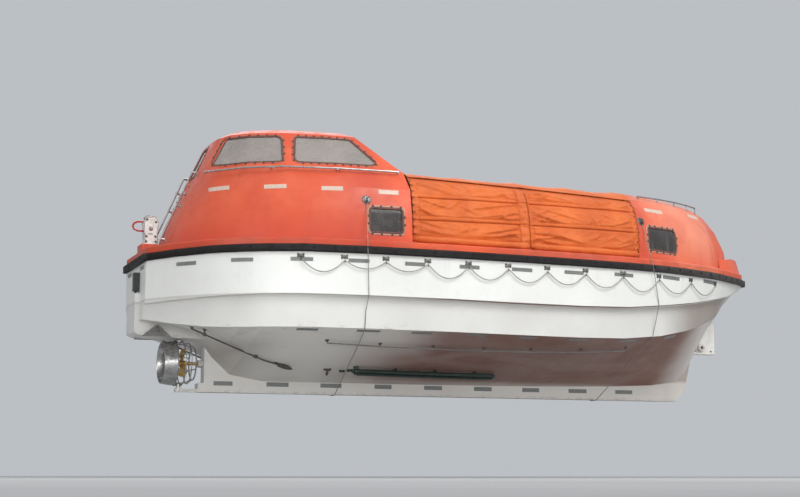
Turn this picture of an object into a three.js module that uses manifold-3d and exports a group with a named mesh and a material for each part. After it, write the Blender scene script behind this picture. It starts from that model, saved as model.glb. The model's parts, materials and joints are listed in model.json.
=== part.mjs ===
// Rigid-ended lifeboat with a canvas-covered middle, afloat frame.
// Millimetres. +X bow, +Y port, +Z up. Heights in the tables below are above
// the underside of the keel; the whole group is then lowered by WATERLINE so
// that the origin lies in the still waterline, amidships, on the centreline.
import * as THREE from "three";
import { mergeVertices } from "three/addons/utils/BufferGeometryUtils.js";
import Module from "manifold-3d";

const wasm = await Module();
wasm.setup();

// ---------------------------------------------------------------- dimensions
const WATERLINE = 720; // keel underside to light waterline
const TRANSOM_X = -4740; // aft face of the hull shell
const BOW_X = 4762; // foremost point of the hull shell
const FENDER_OUT = 42; // how far the rubber strake stands out
const FENDER_H = 98; // height of the strake
const GUNWALE_H = 88; // height of the orange deck moulding over the strake
const SHELL = 45; // canopy wall
const FLOOR_Z = 800; // cabin floor
const GAP = 1; // standing gap between neighbouring mouldings
const CANVAS_T = 14; // canvas cover solid
const CANVAS_AFT_X = -1495; // front edge of the aft canopy
const CANVAS_FWD_X = 2050; // aft edge of the fore canopy
const CANVAS_SPLIT_X = 225; // where the side covers meet
const NOZZLE_Z = 385; // shaft line above the keel underside
const STEER_X = -4130; // steering axis of the nozzle
const PROP_R = 215;
const RAIL_R = 13; // stainless rails

const COL = {
  white: [0xe9e9e4, 0.35, 0],
  orange: [0xe2532b, 0.4, 0],
  rubber: [0x17181a, 0.8, 0],
  canvas: [0xdb5a1c, 0.85, 0],
  steel: [0xc4c6c8, 0.3, 1],
  galv: [0x9a9c9c, 0.5, 1],
  paint: [0xe6e6e2, 0.4, 0],
  red: [0xa3161a, 0.45, 0],
  brass: [0xb08a3c, 0.3, 1],
  glass: [0x9a9fa0, 0.1, 0],
  dark: [0x3b3f42, 0.3, 0],
  black: [0x1d1e20, 0.5, 0],
  green: [0x24362f, 0.5, 0],
  grey: [0x6c6e6e, 0.6, 0],
};

const root = new THREE.Group();
const boat = new THREE.Group();
boat.position.z = -WATERLINE;
root.add(boat);

// ---------------------------------------------------------------- geometry helpers
const V = (x, y, z) => new THREE.Vector3(x, y, z);

function solid(geometry) {
  const g = geometry.clone();
  g.deleteAttribute("normal");
  g.deleteAttribute("uv");
  const m = mergeVertices(g, 1e-3);
  const s = new wasm.Manifold(
    new wasm.Mesh({
      numProp: 3,
      vertProperties: m.attributes.position.array,
      triVerts: new Uint32Array(m.index.array),
    }),
  );
  return s;
}

function geometryOf(s) {
  const m = s.getMesh();
  const pos = new Float32Array(m.numVert * 3);
  for (let i = 0; i < m.numVert; i++)
    pos.set(m.vertProperties.subarray(i * m.numProp, i * m.numProp + 3), i * 3);
  return new THREE.BufferGeometry()
    .setAttribute("position", new THREE.BufferAttribute(pos, 3))
    .setIndex(new THREE.BufferAttribute(new Uint32Array(m.triVerts), 1));
}

const join = (...s) => s.flat().reduce((a, b) => a.add(b));
const cut = (a, ...s) => s.flat().reduce((x, y) => x.subtract(y), a);

// closed skin over rings of equal length; ends capped flat in the plane of axes (i, j)
function loft(rings, i, j) {
  const n = rings[0].length;
  const pos = [];
  rings.forEach((r) => r.forEach((p) => pos.push(p.x, p.y, p.z)));
  const idx = [];
  for (let r = 0; r + 1 < rings.length; r++)
    for (let k = 0; k < n; k++) {
      const a = r * n + k,
        b = r * n + ((k + 1) % n),
        c = a + n,
        d = b + n;
      idx.push(a, b, d, a, d, c);
    }
  const cap = (ring, base, flip) => {
    const flat = ring.map(
      (p) => new THREE.Vector2(p.getComponent(i), p.getComponent(j)),
    );
    const cw = THREE.ShapeUtils.isClockWise(flat);
    const tri = THREE.ShapeUtils.triangulateShape(flat, []);
    for (const [a, b, c] of tri) {
      // triangles come out in the contour's own turning sense
      const s =
        (flat[b].x - flat[a].x) * (flat[c].y - flat[a].y) -
        (flat[b].y - flat[a].y) * (flat[c].x - flat[a].x);
      const same = s > 0 === !cw;
      if (same === flip) idx.push(base + a, base + c, base + b);
      else idx.push(base + a, base + b, base + c);
    }
  };
  cap(rings[0], 0, true);
  cap(rings[rings.length - 1], (rings.length - 1) * n, false);
  const build = (ix) => {
    const g = new THREE.BufferGeometry();
    g.setAttribute("position", new THREE.Float32BufferAttribute(pos, 3));
    g.setIndex(ix);
    return solid(g);
  };
  let s = build(idx);
  if (s.volume() < 0) {
    const r = [];
    for (let k = 0; k < idx.length; k += 3)
      r.push(idx[k], idx[k + 2], idx[k + 1]);
    s = build(r);
  }
  return s;
}

function box(x0, x1, y0, y1, z0, z1) {
  const g = new THREE.BoxGeometry(x1 - x0, y1 - y0, z1 - z0);
  g.translate((x0 + x1) / 2, (y0 + y1) / 2, (z0 + z1) / 2);
  return solid(g);
}

// cylinder between two points
function rod(a, b, r, sides = 10, r2 = r) {
  const d = b.clone().sub(a);
  const g = new THREE.CylinderGeometry(r2, r, d.length(), sides);
  g.applyQuaternion(
    new THREE.Quaternion().setFromUnitVectors(V(0, 1, 0), d.clone().normalize()),
  );
  g.translate((a.x + b.x) / 2, (a.y + b.y) / 2, (a.z + b.z) / 2);
  return solid(g);
}

// round bar along points, mitred at each bend
function bar(points, r, sides = 8) {
  const dirs = points.slice(1).map((p, k) => p.clone().sub(points[k]).normalize());
  const u = new THREE.Vector3();
  const ref = Math.abs(dirs[0].z) < 0.9 ? V(0, 0, 1) : V(1, 0, 0);
  u.crossVectors(dirs[0], ref).normalize();
  const v = new THREE.Vector3().crossVectors(dirs[0], u).normalize();
  let ring = [];
  for (let k = 0; k < sides; k++) {
    const t = (k / sides) * Math.PI * 2;
    ring.push(
      points[0]
        .clone()
        .addScaledVector(u, r * Math.cos(t))
        .addScaledVector(v, r * Math.sin(t)),
    );
  }
  const rings = [ring];
  for (let i = 1; i < points.length; i++) {
    const d = dirs[i - 1];
    const n = i < dirs.length ? d.clone().add(dirs[i]) : d.clone();
    ring = ring.map((p) => {
      const t = points[i].clone().sub(p).dot(n) / d.dot(n);
      return p.clone().addScaledVector(d, t);
    });
    rings.push(ring);
  }
  const pos = [];
  rings.forEach((q) => q.forEach((p) => pos.push(p.x, p.y, p.z)));
  const build = (flip) => {
    const idx = [];
    const tri = (x, y, z) => (flip ? idx.push(x, z, y) : idx.push(x, y, z));
    for (let i = 0; i + 1 < rings.length; i++)
      for (let k = 0; k < sides; k++) {
        const q = i * sides + k,
          w = i * sides + ((k + 1) % sides);
        tri(q, w, w + sides);
        tri(q, w + sides, q + sides);
      }
    const last = (rings.length - 1) * sides;
    for (let k = 1; k + 1 < sides; k++) {
      tri(0, k + 1, k);
      tri(last, last + k, last + k + 1);
    }
    const g = new THREE.BufferGeometry();
    g.setAttribute("position", new THREE.Float32BufferAttribute(pos, 3));
    g.setIndex(idx);
    return solid(g);
  };
  const s = build(false);
  return s.volume() > 0 ? s : build(true);
}

// polygon [[u, v], ...] extruded along an axis: "x" gives (u,v)=(y,z), "y" gives (x,z), "z" gives (x,y)
function prism(poly, axis, from, to) {
  const shape = new THREE.Shape(poly.map(([u, v]) => new THREE.Vector2(u, v)));
  const g = new THREE.ExtrudeGeometry(shape, {
    depth: to - from,
    steps: 1,
    bevelEnabled: false,
  });
  const m = new THREE.Matrix4();
  if (axis === "z") m.makeTranslation(0, 0, from);
  if (axis === "x") m.set(0, 0, 1, from, 1, 0, 0, 0, 0, 1, 0, 0, 0, 0, 0, 1);
  // (x, z) profile extruded towards -Y, then set so that it spans from..to
  if (axis === "y") m.set(1, 0, 0, 0, 0, 0, -1, to, 0, 1, 0, 0, 0, 0, 0, 1);
  g.applyMatrix4(m);
  return solid(g);
}

function roundedPoly(poly, r, n = 3) {
  const out = [];
  poly.forEach((p, k) => {
    const a = poly[(k + poly.length - 1) % poly.length],
      b = poly[(k + 1) % poly.length];
    const u = [a[0] - p[0], a[1] - p[1]],
      w = [b[0] - p[0], b[1] - p[1]];
    const lu = Math.hypot(...u),
      lw = Math.hypot(...w);
    const s = [p[0] + (u[0] / lu) * r, p[1] + (u[1] / lu) * r],
      e = [p[0] + (w[0] / lw) * r, p[1] + (w[1] / lw) * r];
    for (let i = 0; i <= n; i++) {
      const t = i / n;
      out.push([
        (1 - t) ** 2 * s[0] + 2 * t * (1 - t) * p[0] + t * t * e[0],
        (1 - t) ** 2 * s[1] + 2 * t * (1 - t) * p[1] + t * t * e[1],
      ]);
    }
  });
  return out;
}

// moves a convex or gently concave closed polygon of [x, y] inwards by t
function inset(poly, t) {
  let area = 0;
  poly.forEach((p, k) => {
    const q = poly[(k + 1) % poly.length];
    area += p[0] * q[1] - q[0] * p[1];
  });
  const s = area > 0 ? 1 : -1;
  return poly.map((p, k) => {
    const a = poly[(k + poly.length - 1) % poly.length],
      b = poly[(k + 1) % poly.length];
    const n1 = [-(p[1] - a[1]), p[0] - a[0]],
      n2 = [-(b[1] - p[1]), b[0] - p[0]];
    const l1 = Math.hypot(...n1),
      l2 = Math.hypot(...n2);
    const u = [(s * n1[0]) / l1, (s * n1[1]) / l1],
      w = [(s * n2[0]) / l2, (s * n2[1]) / l2];
    const d = 1 + u[0] * w[0] + u[1] * w[1];
    return [p[0] + (t * (u[0] + w[0])) / d, p[1] + (t * (u[1] + w[1])) / d];
  });
}

function lerpTable(xs, ys, x) {
  if (x <= xs[0]) return ys[0];
  for (let k = 1; k < xs.length; k++)
    if (x <= xs[k])
      return (
        ys[k - 1] +
        ((ys[k] - ys[k - 1]) * (x - xs[k - 1])) / (xs[k] - xs[k - 1])
      );
  return ys[ys.length - 1];
}

function put(name, s, col) {
  const [color, roughness, metalness] = COL[col];
  const mesh = new THREE.Mesh(
    geometryOf(s),
    new THREE.MeshStandardMaterial({ color, roughness, metalness }),
  );
  mesh.name = name;
  boat.add(mesh);
  return mesh;
}
const both = (name, make, col) => {
  put(name + "_stbd", make(-1), col);
  put(name + "_port", make(1), col);
};

// ---------------------------------------------------------------- hull
// x, half-breadth at the sheer, at the knuckle, knuckle height, half-breadth under the knuckle,
// half-breadth and height of the chine, height of the canoe body on the centreline, keel/stem underside, keel half-width
const HULL = [
  //  x     sheer knuc  zknuc under chine zchin zbody zkeel kw
  [-4740, 690, 660, 1110, 575, 540, 915, 950, 950, 60],
  [-4450, 1120, 1090, 1125, 1000, 965, 830, 925, 925, 60],
  [-4100, 1510, 1480, 1143, 1390, 1350, 768, 850, 850, 60],
  [-3900, 1670, 1640, 1150, 1550, 1510, 755, 735, 735, 60],
  [-3700, 1805, 1775, 1157, 1685, 1645, 750, 470, 470, 80],
  [-3450, 1925, 1895, 1164, 1805, 1765, 752, 245, 245, 90],
  [-3000, 2060, 2030, 1170, 1940, 1900, 755, 165, 165, 100],
  [-2200, 2130, 2100, 1170, 2010, 1970, 755, 165, 165, 110],
  [-1000, 2125, 2095, 1168, 2005, 1965, 750, 165, 165, 120],
  [0, 2075, 2045, 1160, 1955, 1915, 745, 170, 170, 120],
  [1000, 1965, 1930, 1170, 1840, 1800, 750, 178, 178, 115],
  [1800, 1830, 1790, 1200, 1700, 1650, 775, 190, 190, 110],
  [2500, 1620, 1570, 1275, 1475, 1420, 850, 205, 205, 95],
  [3100, 1350, 1290, 1360, 1190, 1120, 970, 225, 225, 80],
  [3500, 1135, 1065, 1435, 965, 885, 1085, 260, 260, 65],
  [3680, 1030, 955, 1470, 855, 765, 1150, 420, 420, 50],
  [3800, 950, 870, 1495, 765, 670, 1195, 745, 745, 40],
  [4000, 790, 700, 1540, 595, 490, 1285, 1040, 1040, 36],
  [4280, 540, 440, 1608, 330, 215, 1475, 1450, 1450, 32],
  [4530, 310, 205, 1695, 130, 90, 1665, 1645, 1645, 26],
  [4700, 130, 80, 1762, 55, 42, 1752, 1740, 1740, 18],
  [4762, 21, 18, 1790, 15, 12, 1786, 1782, 1782, 6],
];
const HX = HULL.map((r) => r[0]);
const sheerB = (x) => lerpTable(HX, HULL.map((r) => r[1]), x);
// underside of the strake: x, z
const SHEER = [
  [-4740, 1665],
  [-4200, 1686],
  [-3000, 1697],
  [0, 1697],
  [1500, 1706],
  [3000, 1734],
  [4000, 1758],
  [4762, 1802],
];
const sheerZ = (x) =>
  lerpTable(
    SHEER.map((r) => r[0]),
    SHEER.map((r) => r[1]),
    x,
  );

function hullSection([x, bs, bk, zk, bu, bc, zc, zb, zkeel, kw]) {
  const zs = sheerZ(x) + FENDER_H + 2;
  const mid = 0.52; // a point on the bottom panel, slightly full
  const half = [
    [kw, zb],
    [kw + (bc - kw) * mid, zb + (zc - zb) * mid - 12 * Math.min(1, bc / 900)],
    [bc, zc],
    [bu, zk - 6],
    [bk, zk],
    [bs, zs],
  ];
  const ring = [];
  half.forEach(([y, z]) => ring.push(V(x, -y, z)));
  half
    .slice()
    .reverse()
    .forEach(([y, z]) => ring.push(V(x, y, z)));
  return ring;
}
const canoe = loft(HULL.map(hullSection), 1, 2);

// cabin well: open at the top
const wellX = [-4350, -4000, -3700, -3600, -3000, -2200, -1000, 0, 1000, 1800, 2500, 3100, 3600, 3900];
const wellRing = (x) => {
  const at = (c) => lerpTable(HX, HULL.map((r) => r[c]), x);
  const t = 70;
  const zf = Math.max(FLOOR_Z, at(6) + 40, at(7) + 65);
  const half = [
    [Math.max(at(5) - t - 20, 40), zf],
    [at(4) - t, at(3) + 30],
    [at(1) - t, sheerZ(x) + FENDER_H + 60],
  ];
  const ring = [];
  half.forEach(([y, z]) => ring.push(V(x, -y, z)));
  half
    .slice()
    .reverse()
    .forEach(([y, z]) => ring.push(V(x, y, z)));
  return ring;
};
const well = loft(wellX.map(wellRing), 1, 2);

// keel bar, deep skeg ahead of the propeller, stern post box and heel bar
const keelBar = prism(
  [
    [-3880, 0],
    [3500, 0],
    [3655, 190],
    [3790, 740],
    [3700, 745],
    [3400, 300],
    [-3500, 300],
    [-3700, 520],
    [-3780, 700],
    [-3800, 700],
    [-3800, 125],
    [-3880, 118],
  ],
  "y",
  -95,
  95,
);
const sternBox = prism(
  [
    [-4800, 770],
    [-4740, 735],
    [-4200, 708],
    [-3850, 700],
    [-3850, 1000],
    [-4700, 1000],
    [-4700, 1285],
    [-4800, 1285],
  ],
  "y",
  -280,
  280,
);
const heel = join(
  box(-4180, -3860, -38, 38, 0, 42),
  rod(V(STEER_X, 0, 0), V(STEER_X, 0, 58), 44, 14),
);
const sternTube = cut(
  rod(V(-3795, 0, NOZZLE_Z), V(-3868, 0, NOZZLE_Z), 52, 14),
);
const shaftBore = rod(V(-3700, 0, NOZZLE_Z), V(-3900, 0, NOZZLE_Z), 29, 14);
const hull = cut(
  join(canoe, keelBar, sternBox, heel, sternTube),
  well,
  shaftBore,
);
put("hull", hull, "white");

// plate fin under the stem with its flanged foot and boss
const finBoss = (s) => rod(V(4020, s * 12, 838), V(4020, s * 60, 838), 40, 12);
const fin = cut(
  join(
    prism(
      [
        [3815, 745],
        [4245, 745],
        [4245, 1400],
        [4232, 1400],
      ],
      "y",
      -16,
      16,
    ),
    box(3815, 4245, -75, 75, 728, 746),
    finBoss(-1),
    finBoss(1),
  ),
);
// trimmed to the stem with a standing gap
const stemSolid = join(canoe, keelBar);
const finTrim = cut(fin, stemSolid, stemSolid.translate([0.6, 0, -0.6]));
put("bow_fin", finTrim.decompose().sort((a, b) => b.volume() - a.volume())[0], "paint");

// ---------------------------------------------------------------- mouldings along the sheer
// solid between two heights over the sheer, right across the boat; lo and hi are heights
// over the strake's underside, off moves the side out (+) or in (-), endOff the two ends
function sheerSlab(layers, aft = TRANSOM_X, fore = BOW_X, extra = []) {
  const xs = [
    aft,
    ...HX.filter((x) => x > aft + 5 && x < fore - 5),
    ...extra,
    fore,
  ].sort((p, q) => p - q);
  return loft(
    xs.map((x) => {
      const half = layers.map(([off, dz]) => [
        Math.max(8, sheerB(x) + off),
        sheerZ(x) + dz,
      ]);
      return half
        .map(([y, z]) => V(x, -y, z))
        .concat(half.slice().reverse().map(([y, z]) => V(x, y, z)));
    }),
    1,
    2,
  );
}
const G0 = FENDER_H + 2 + GAP,
  G1 = FENDER_H + GUNWALE_H;

// rubber strake right round the boat, chamfered above and below
{
  const o = FENDER_OUT;
  const body = sheerSlab(
    [
      [o - 14, 0],
      [o, 16],
      [o, FENDER_H - 16],
      [o - 14, FENDER_H],
    ],
    TRANSOM_X - o,
    BOW_X + o,
  );
  const hole = sheerSlab(
    [
      [1, -60],
      [1, FENDER_H + 60],
    ],
    TRANSOM_X - 1,
    BOW_X + 1.5,
  );
  put("fender", cut(body, hole), "rubber");
}

// everything under the canopies' feet, used to seat them on the deck moulding
const belowDeck = (over = GAP) => {
  const xs = [-5200, ...HX, 5200];
  return loft(
    xs.map((x) => {
      const z = sheerZ(x) + G1 + over;
      return [V(x, -2600, 300), V(x, -2600, z), V(x, 2600, z), V(x, 2600, 300)];
    }),
    1,
    2,
  );
};

// orange deck moulding: side decks, aft deck with the hook step, raised nose with its bulwark
function makeDeck(foreCutter) {
  const body = sheerSlab([
    [0, G0],
    [0, G1 - 14],
    [-14, G1],
  ]);
  const hole = sheerSlab(
    [
      [-195, G0 - 80],
      [-195, G1 + 80],
    ],
    -4300,
    3850,
  );
  // the opening never reaches outside the foot of the aft canopy
  const open = hole.intersect(
    join(box(-3300, 3900, -2300, 2300, 1000, 2600), canopySolid(AFT, 60, 0, 400)),
  );
  const noseRing = (off, fx, dz, sag = 0) => {
    // runs out of the canopy's side without a step
    const fair = { 3990: -120, 4120: -48, 4280: -8 };
    const low = { 3990: 60, 4120: 52, 4280: 34, 4430: 14 };
    const xs = [3990, 4120, 4280, 4430, 4560, 4660, BOW_X];
    const drop = xs.map((x) => low[x] ?? 0);
    const side = xs.map((x) => {
      const u = 3990 + ((x - 3990) * (fx - 3990)) / (BOW_X - 3990);
      return [u, Math.max(9, sheerB(x) + off + (fair[x] ?? 0))];
    });
    return side
      .map(([x, y], k) => V(x, -y, sheerZ(x) + dz - sag * drop[k]))
      .concat(
        side.map(([x, y], k) => V(x, y, sheerZ(x) + dz - sag * drop[k])).reverse(),
      );
  };
  const nose = loft(
    [
      noseRing(-6, BOW_X - 10, G1 - 40),
      noseRing(-60, BOW_X - 60, G1 + 150, 0.6),
      noseRing(-85, BOW_X - 90, G1 + 235, 1),
    ],
    0,
    1,
  );
  const step = box(-4700, -4475, -150, 150, 1800, 1975);
  const foreStep = box(3900, 4160, -150, 150, 1905, 1975);
  return join(cut(body, open), step, foreStep, cut(nose, foreCutter));
}

// ---------------------------------------------------------------- canopies
// level heights, then x, y pairs from the closed end to the open end (starboard half)
const AFT = {
  z: [1780, 2260, 2610, 2870, 3420, 3500],
  rows: [
    //  A            B            C             D             E             F             G
    [[-4470, 300], [-4405, 660], [-4180, 1110], [-3800, 1510], [-3250, 1820], [-2400, 1985], [-1500, 2010]],
    [[-4310, 300], [-4255, 640], [-4040, 1060], [-3700, 1450], [-3200, 1760], [-2400, 1945], [-1500, 1980]],
    [[-4150, 280], [-4110, 600], [-3930, 990], [-3620, 1370], [-3150, 1670], [-2400, 1870], [-1500, 1910]],
    [[-4030, 260], [-4000, 560], [-3870, 940], [-3560, 1300], [-3120, 1540], [-2400, 1660], [-1520, 1700]],
    [[-3775, 205], [-3755, 450], [-3670, 720], [-3450, 960], [-3050, 1140], [-2500, 1220], [-2050, 1220]],
    [[-3640, 160], [-3620, 360], [-3550, 580], [-3360, 790], [-3000, 950], [-2500, 1020], [-2180, 1020]],
  ],
};
const FORE = {
  z: [1800, 2300, 2600, 2800, 2930, 2990],
  rows: [
    [[4480, 150], [4200, 455], [3800, 800], [3300, 1110], [2700, 1420], [2050, 1650]],
    [[4395, 150], [4130, 445], [3770, 775], [3290, 1100], [2700, 1415], [2050, 1645]],
    [[4240, 140], [4010, 410], [3690, 695], [3260, 1000], [2700, 1300], [2050, 1540]],
    [[4065, 125], [3870, 350], [3580, 600], [3200, 860], [2680, 1145], [2050, 1370]],
    [[3850, 105], [3680, 275], [3420, 450], [3080, 660], [2620, 895], [2050, 1110]],
    [[3560, 80], [3420, 190], [3200, 310], [2900, 450], [2500, 610], [2050, 790]],
  ],
};
// solid of a canopy moved inwards by t; the open end is pushed out by push
function canopySolid(tab, t, push = 0, drop = 0, openTo = 1e9) {
  const rings = tab.rows.map((row, k) => {
    const full = row
      .map(([x, y]) => [x, -y])
      .concat(row.slice().reverse().map(([x, y]) => [x, y]));
    let o = t ? inset(full, t) : full;
    if (push && (k === 0 || tab.z[k] <= openTo)) {
      const n = row.length;
      o = o.map((p, q) => (q === n - 1 || q === n ? [p[0] + push, p[1]] : p));
    }
    const top = k === tab.rows.length - 1;
    return o.map(([x, y]) =>
      V(x, y, k ? tab.z[k] - (top ? t : 0) : tab.z[0] - drop),
    );
  });
  return loft(rings, 0, 1);
}

// window cut-outs as x, z corners seen from the side; r = corner radius
const SIDE_WINDOWS = [
  { name: "cabin_window_aft", r: 60, poly: [[-3900, 2965], [-3120, 2965], [-3060, 3365], [-3700, 3365]] },
  { name: "cabin_window_fwd", r: 60, poly: [[-2975, 2965], [-1822, 2965], [-2135, 3365], [-2885, 3365]] },
  { name: "aft_side_light", r: 45, poly: [[-2080, 2010], [-1630, 2010], [-1630, 2335], [-2080, 2335]] },
];
const FORE_WINDOWS = [
  { name: "fore_side_light", r: 45, poly: [[2255, 2060], [2822, 2060], [2806, 2390], [2245, 2385]] },
];
const sideCut = (w, s, grow = 0) => {
  const poly = roundedPoly(grow ? inset(w.poly, -grow) : w.poly, w.r);
  return s < 0 ? prism(poly, "y", -2400, -500) : prism(poly, "y", 500, 2400);
};

// aft canopy with its steering cabin
const aftOuter = canopySolid(AFT, 0);
// sloping front screen: corners in the plane from (-1520, 2870) to (-2050, 3420)
const screenCut = (grow = 0) =>
  prism(
    roundedPoly(
      inset([[-1050, 2965], [1050, 2965], [930, 3350], [-930, 3350]], -grow),
      70,
    ),
    "x",
    -2450,
    -1300,
  );
const aftLightCut = (grow = 0) =>
  prism(
    roundedPoly(inset([[-185, 2930], [185, 2930], [150, 3350], [-150, 3350]], -grow), 40),
    "x",
    -4300,
    -3400,
  );
// access hatch in the aft face, above the hook
const aftHatchCut = (grow = 0) =>
  prism(
    roundedPoly(inset([[-215, 2420], [215, 2420], [210, 2800], [-210, 2800]], -grow), 50),
    "x",
    -4700,
    -3800,
  );
// roof hatch over the helmsman
const roofHatchCut = (grow = 0) =>
  prism(
    roundedPoly(inset([[-3300, -300], [-2700, -300], [-2700, 300], [-3300, 300]], -grow), 60),
    "z",
    3380,
    3620,
  );
{
  // hollow: lower part runs out through the open front, cabin part stops behind the screen
  const inner = canopySolid(AFT, SHELL, 0, 60);
  const mouth = prism(
    [
      [-1890, 1700],
      [1890, 1700],
      [1880, 2260],
      [1800, 2560],
      [1560, 2790],
      [-1560, 2790],
      [-1800, 2560],
      [-1880, 2260],
    ],
    "x",
    -1700,
    -1300,
  );
  let s = cut(aftOuter, inner, mouth, belowDeck());
  for (const w of SIDE_WINDOWS) s = cut(s, sideCut(w, -1), sideCut(w, 1));
  s = cut(s, screenCut(), aftLightCut(), aftHatchCut(), roofHatchCut());
  put("aft_canopy", s, "orange");
}
// a pane or lid follows the canopy wall between two depths, inside a cut-out shrunk by g
function inWall(tab, cutter, d0, d1) {
  const shellPart = cut(canopySolid(tab, d0), canopySolid(tab, d1, 0, 40));
  const s = shellPart.intersect(cutter);
  return s.decompose().sort((a, b) => b.volume() - a.volume())[0];
}
for (const w of SIDE_WINDOWS)
  both(w.name, (s) => inWall(AFT, sideCut(w, s, -1.5), 8, 24), w.name.startsWith("aft") ? "dark" : "glass");
put("front_screen", inWall(AFT, screenCut(-1.5), 8, 24), "glass");
put("aft_window", inWall(AFT, aftLightCut(-1.5), 8, 24), "dark");

// fore canopy with the hook pocket open to the bow
const forePocket = prism(
  [
    [3790, 1900],
    [4700, 1900],
    [4700, 3200],
    [3465, 3200],
  ],
  "y",
  -230,
  230,
);
const pocketWalls = prism(
  [
    [3738, 1925],
    [4600, 1925],
    [4600, 3200],
    [3420, 3200],
  ],
  "y",
  -275,
  275,
);
const foreHatchCut = (grow = 0) =>
  prism(
    roundedPoly(inset([[-185, 2410], [185, 2410], [185, 2760], [-185, 2760]], -grow), 45),
    "x",
    3500,
    3900,
  );
{
  const outer = canopySolid(FORE, 0);
  const inner = canopySolid(FORE, SHELL, 0, 60);
  const mouth = prism(
    [
      [-1560, 1700],
      [1560, 1700],
      [1550, 2260],
      [1470, 2560],
      [1270, 2780],
      [900, 2880],
      [-900, 2880],
      [-1270, 2780],
      [-1470, 2560],
      [-1550, 2260],
    ],
    "x",
    1900,
    2120,
  );
  // the pocket's own walls are part of the moulding
  const skin = cut(outer, inner, mouth, belowDeck());
  const walls = cut(outer.intersect(pocketWalls), belowDeck());
  let s = cut(join(skin, walls), forePocket, foreHatchCut());
  for (const w of FORE_WINDOWS) s = cut(s, sideCut(w, -1), sideCut(w, 1));
  put(
    "fore_canopy",
    s.decompose().sort((a, b) => b.volume() - a.volume())[0],
    "orange",
  );
}
put("deck_moulding", makeDeck(canopySolid(FORE, -3)), "orange");
for (const w of FORE_WINDOWS)
  both(w.name, (s) => inWall(FORE, sideCut(w, s, -1.5), 8, 24), "dark");

// ---------------------------------------------------------------- hatches
// flat lids standing just off the wall, with 6 mm clear all round
{
  // aft face runs from (-4470, base) to (-4030, 2870)
  put("aft_hatch", inWall(AFT, aftHatchCut(-6), 2, 34), "orange");
  put("roof_hatch", join(
    prism(roundedPoly([[-3292, -292], [-2708, -292], [-2708, 292], [-3292, 292]], 55), "z", 3462, 3512),
    prism(roundedPoly([[-3330, -330], [-2670, -330], [-2670, 330], [-3330, 330]], 70), "z", 3507, 3532),
  ), "orange");
  // slab in the thickness of the pocket's aft wall
  const slab = prism(
    [
      [3745.5, 1925],
      [3779.5, 1925],
      [3461, 3200],
      [3427, 3200],
    ],
    "y",
    -260,
    260,
  );
  put("fore_hatch", slab.intersect(foreHatchCut(-6)), "orange");
}

// ---------------------------------------------------------------- canvas covers and their frame
// section of the covered part: columns half-breadth, height at the aft and the fore end
const COVER = [
  //  y aft  z aft  y fwd  z fwd
  [2010, 1888, 1645, 1912],
  [1985, 2250, 1640, 2290],
  [1915, 2600, 1535, 2590],
  [1720, 2835, 1370, 2795],
  [1300, 2925, 1105, 2925],
  [650, 2965, 560, 2975],
  [0, 2975, 0, 2985],
];
const coverPoint = (k, x, off = 0) => {
  const t = (x - CANVAS_AFT_X) / (CANVAS_FWD_X - CANVAS_AFT_X);
  const [ya, za, yf, zf] = COVER[k];
  // follows the curve of the sheer in between
  const bow = 4 * t * (1 - t) * 95 * (1 - k / 7);
  return [ya + (yf - ya) * t + bow, za + (zf - za) * t + (k ? 0 : -60)];
};
function coverRing(x, k0, k1, t0, t1) {
  // outer points k0..k1, then back along the inside, t = thickness normal to the section
  const pts = [];
  for (let k = k0; k <= k1; k++) pts.push(coverPoint(k, x));
  const nrm = pts.map((p, i) => {
    const a = pts[Math.max(0, i - 1)],
      b = pts[Math.min(pts.length - 1, i + 1)];
    const d = [b[0] - a[0], b[1] - a[1]];
    const l = Math.hypot(...d);
    return [-d[1] / l, d[0] / l];
  });
  return [pts, nrm];
}
function sideCover(x0, x1, s) {
  const xs = [];
  const n = 4;
  for (let i = 0; i <= n; i++) xs.push(x0 + ((x1 - x0) * i) / n);
  const rings = xs.map((x) => {
    const [pts, nrm] = coverRing(x, 0, 3);
    const outer = pts.map(([y, z]) => V(x, s * y, z));
    const inner = pts.map(([y, z], i) => V(x, s * (y - CANVAS_T * Math.abs(nrm[i][0])), z - CANVAS_T * Math.abs(nrm[i][1]) * (i === 0 ? 0 : 1)));
    return outer.concat(inner.reverse());
  });
  return cut(loft(rings, 1, 2), belowDeck(2));
}
both("side_cover_aft", (s) => sideCover(CANVAS_AFT_X + 3, CANVAS_SPLIT_X - 2, s), "canvas");
both("side_cover_fwd", (s) => sideCover(CANVAS_SPLIT_X + 2, CANVAS_FWD_X - 3, s), "canvas");
{
  const xs = [CANVAS_AFT_X + 3, -600, CANVAS_SPLIT_X, 1100, CANVAS_FWD_X - 3];
  const rings = xs.map((x) => {
    const up = [];
    for (let k = 3; k < 7; k++) up.push(coverPoint(k, x));
    const gap = 4; // over the side covers' top edge
    const outer = up.map(([y, z], i) => [y, z + (i ? 0 : gap)]);
    const innerY = (y, i) => (i === 0 ? y : y);
    const ring = [];
    outer.forEach(([y, z]) => ring.push(V(x, -y, z)));
    outer
      .slice(0, -1)
      .reverse()
      .forEach(([y, z]) => ring.push(V(x, y, z)));
    outer.slice(0, -1).forEach(([y, z], i) => ring.push(V(x, innerY(y, i) - (i === 0 ? 22 : 0), z - (i === 0 ? 2 : CANVAS_T))));
    const c = outer[outer.length - 1];
    ring.push(V(x, 0, c[1] - CANVAS_T));
    outer
      .slice(0, -1)
      .reverse()
      .forEach(([y, z], i) => {
        const first = i === outer.length - 2;
        ring.push(V(x, -(y - (first ? 22 : 0)), z - (first ? 2 : CANVAS_T)));
      });
    return ring;
  });
  put("canvas_roof", loft(rings, 1, 2), "canvas");
}
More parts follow.
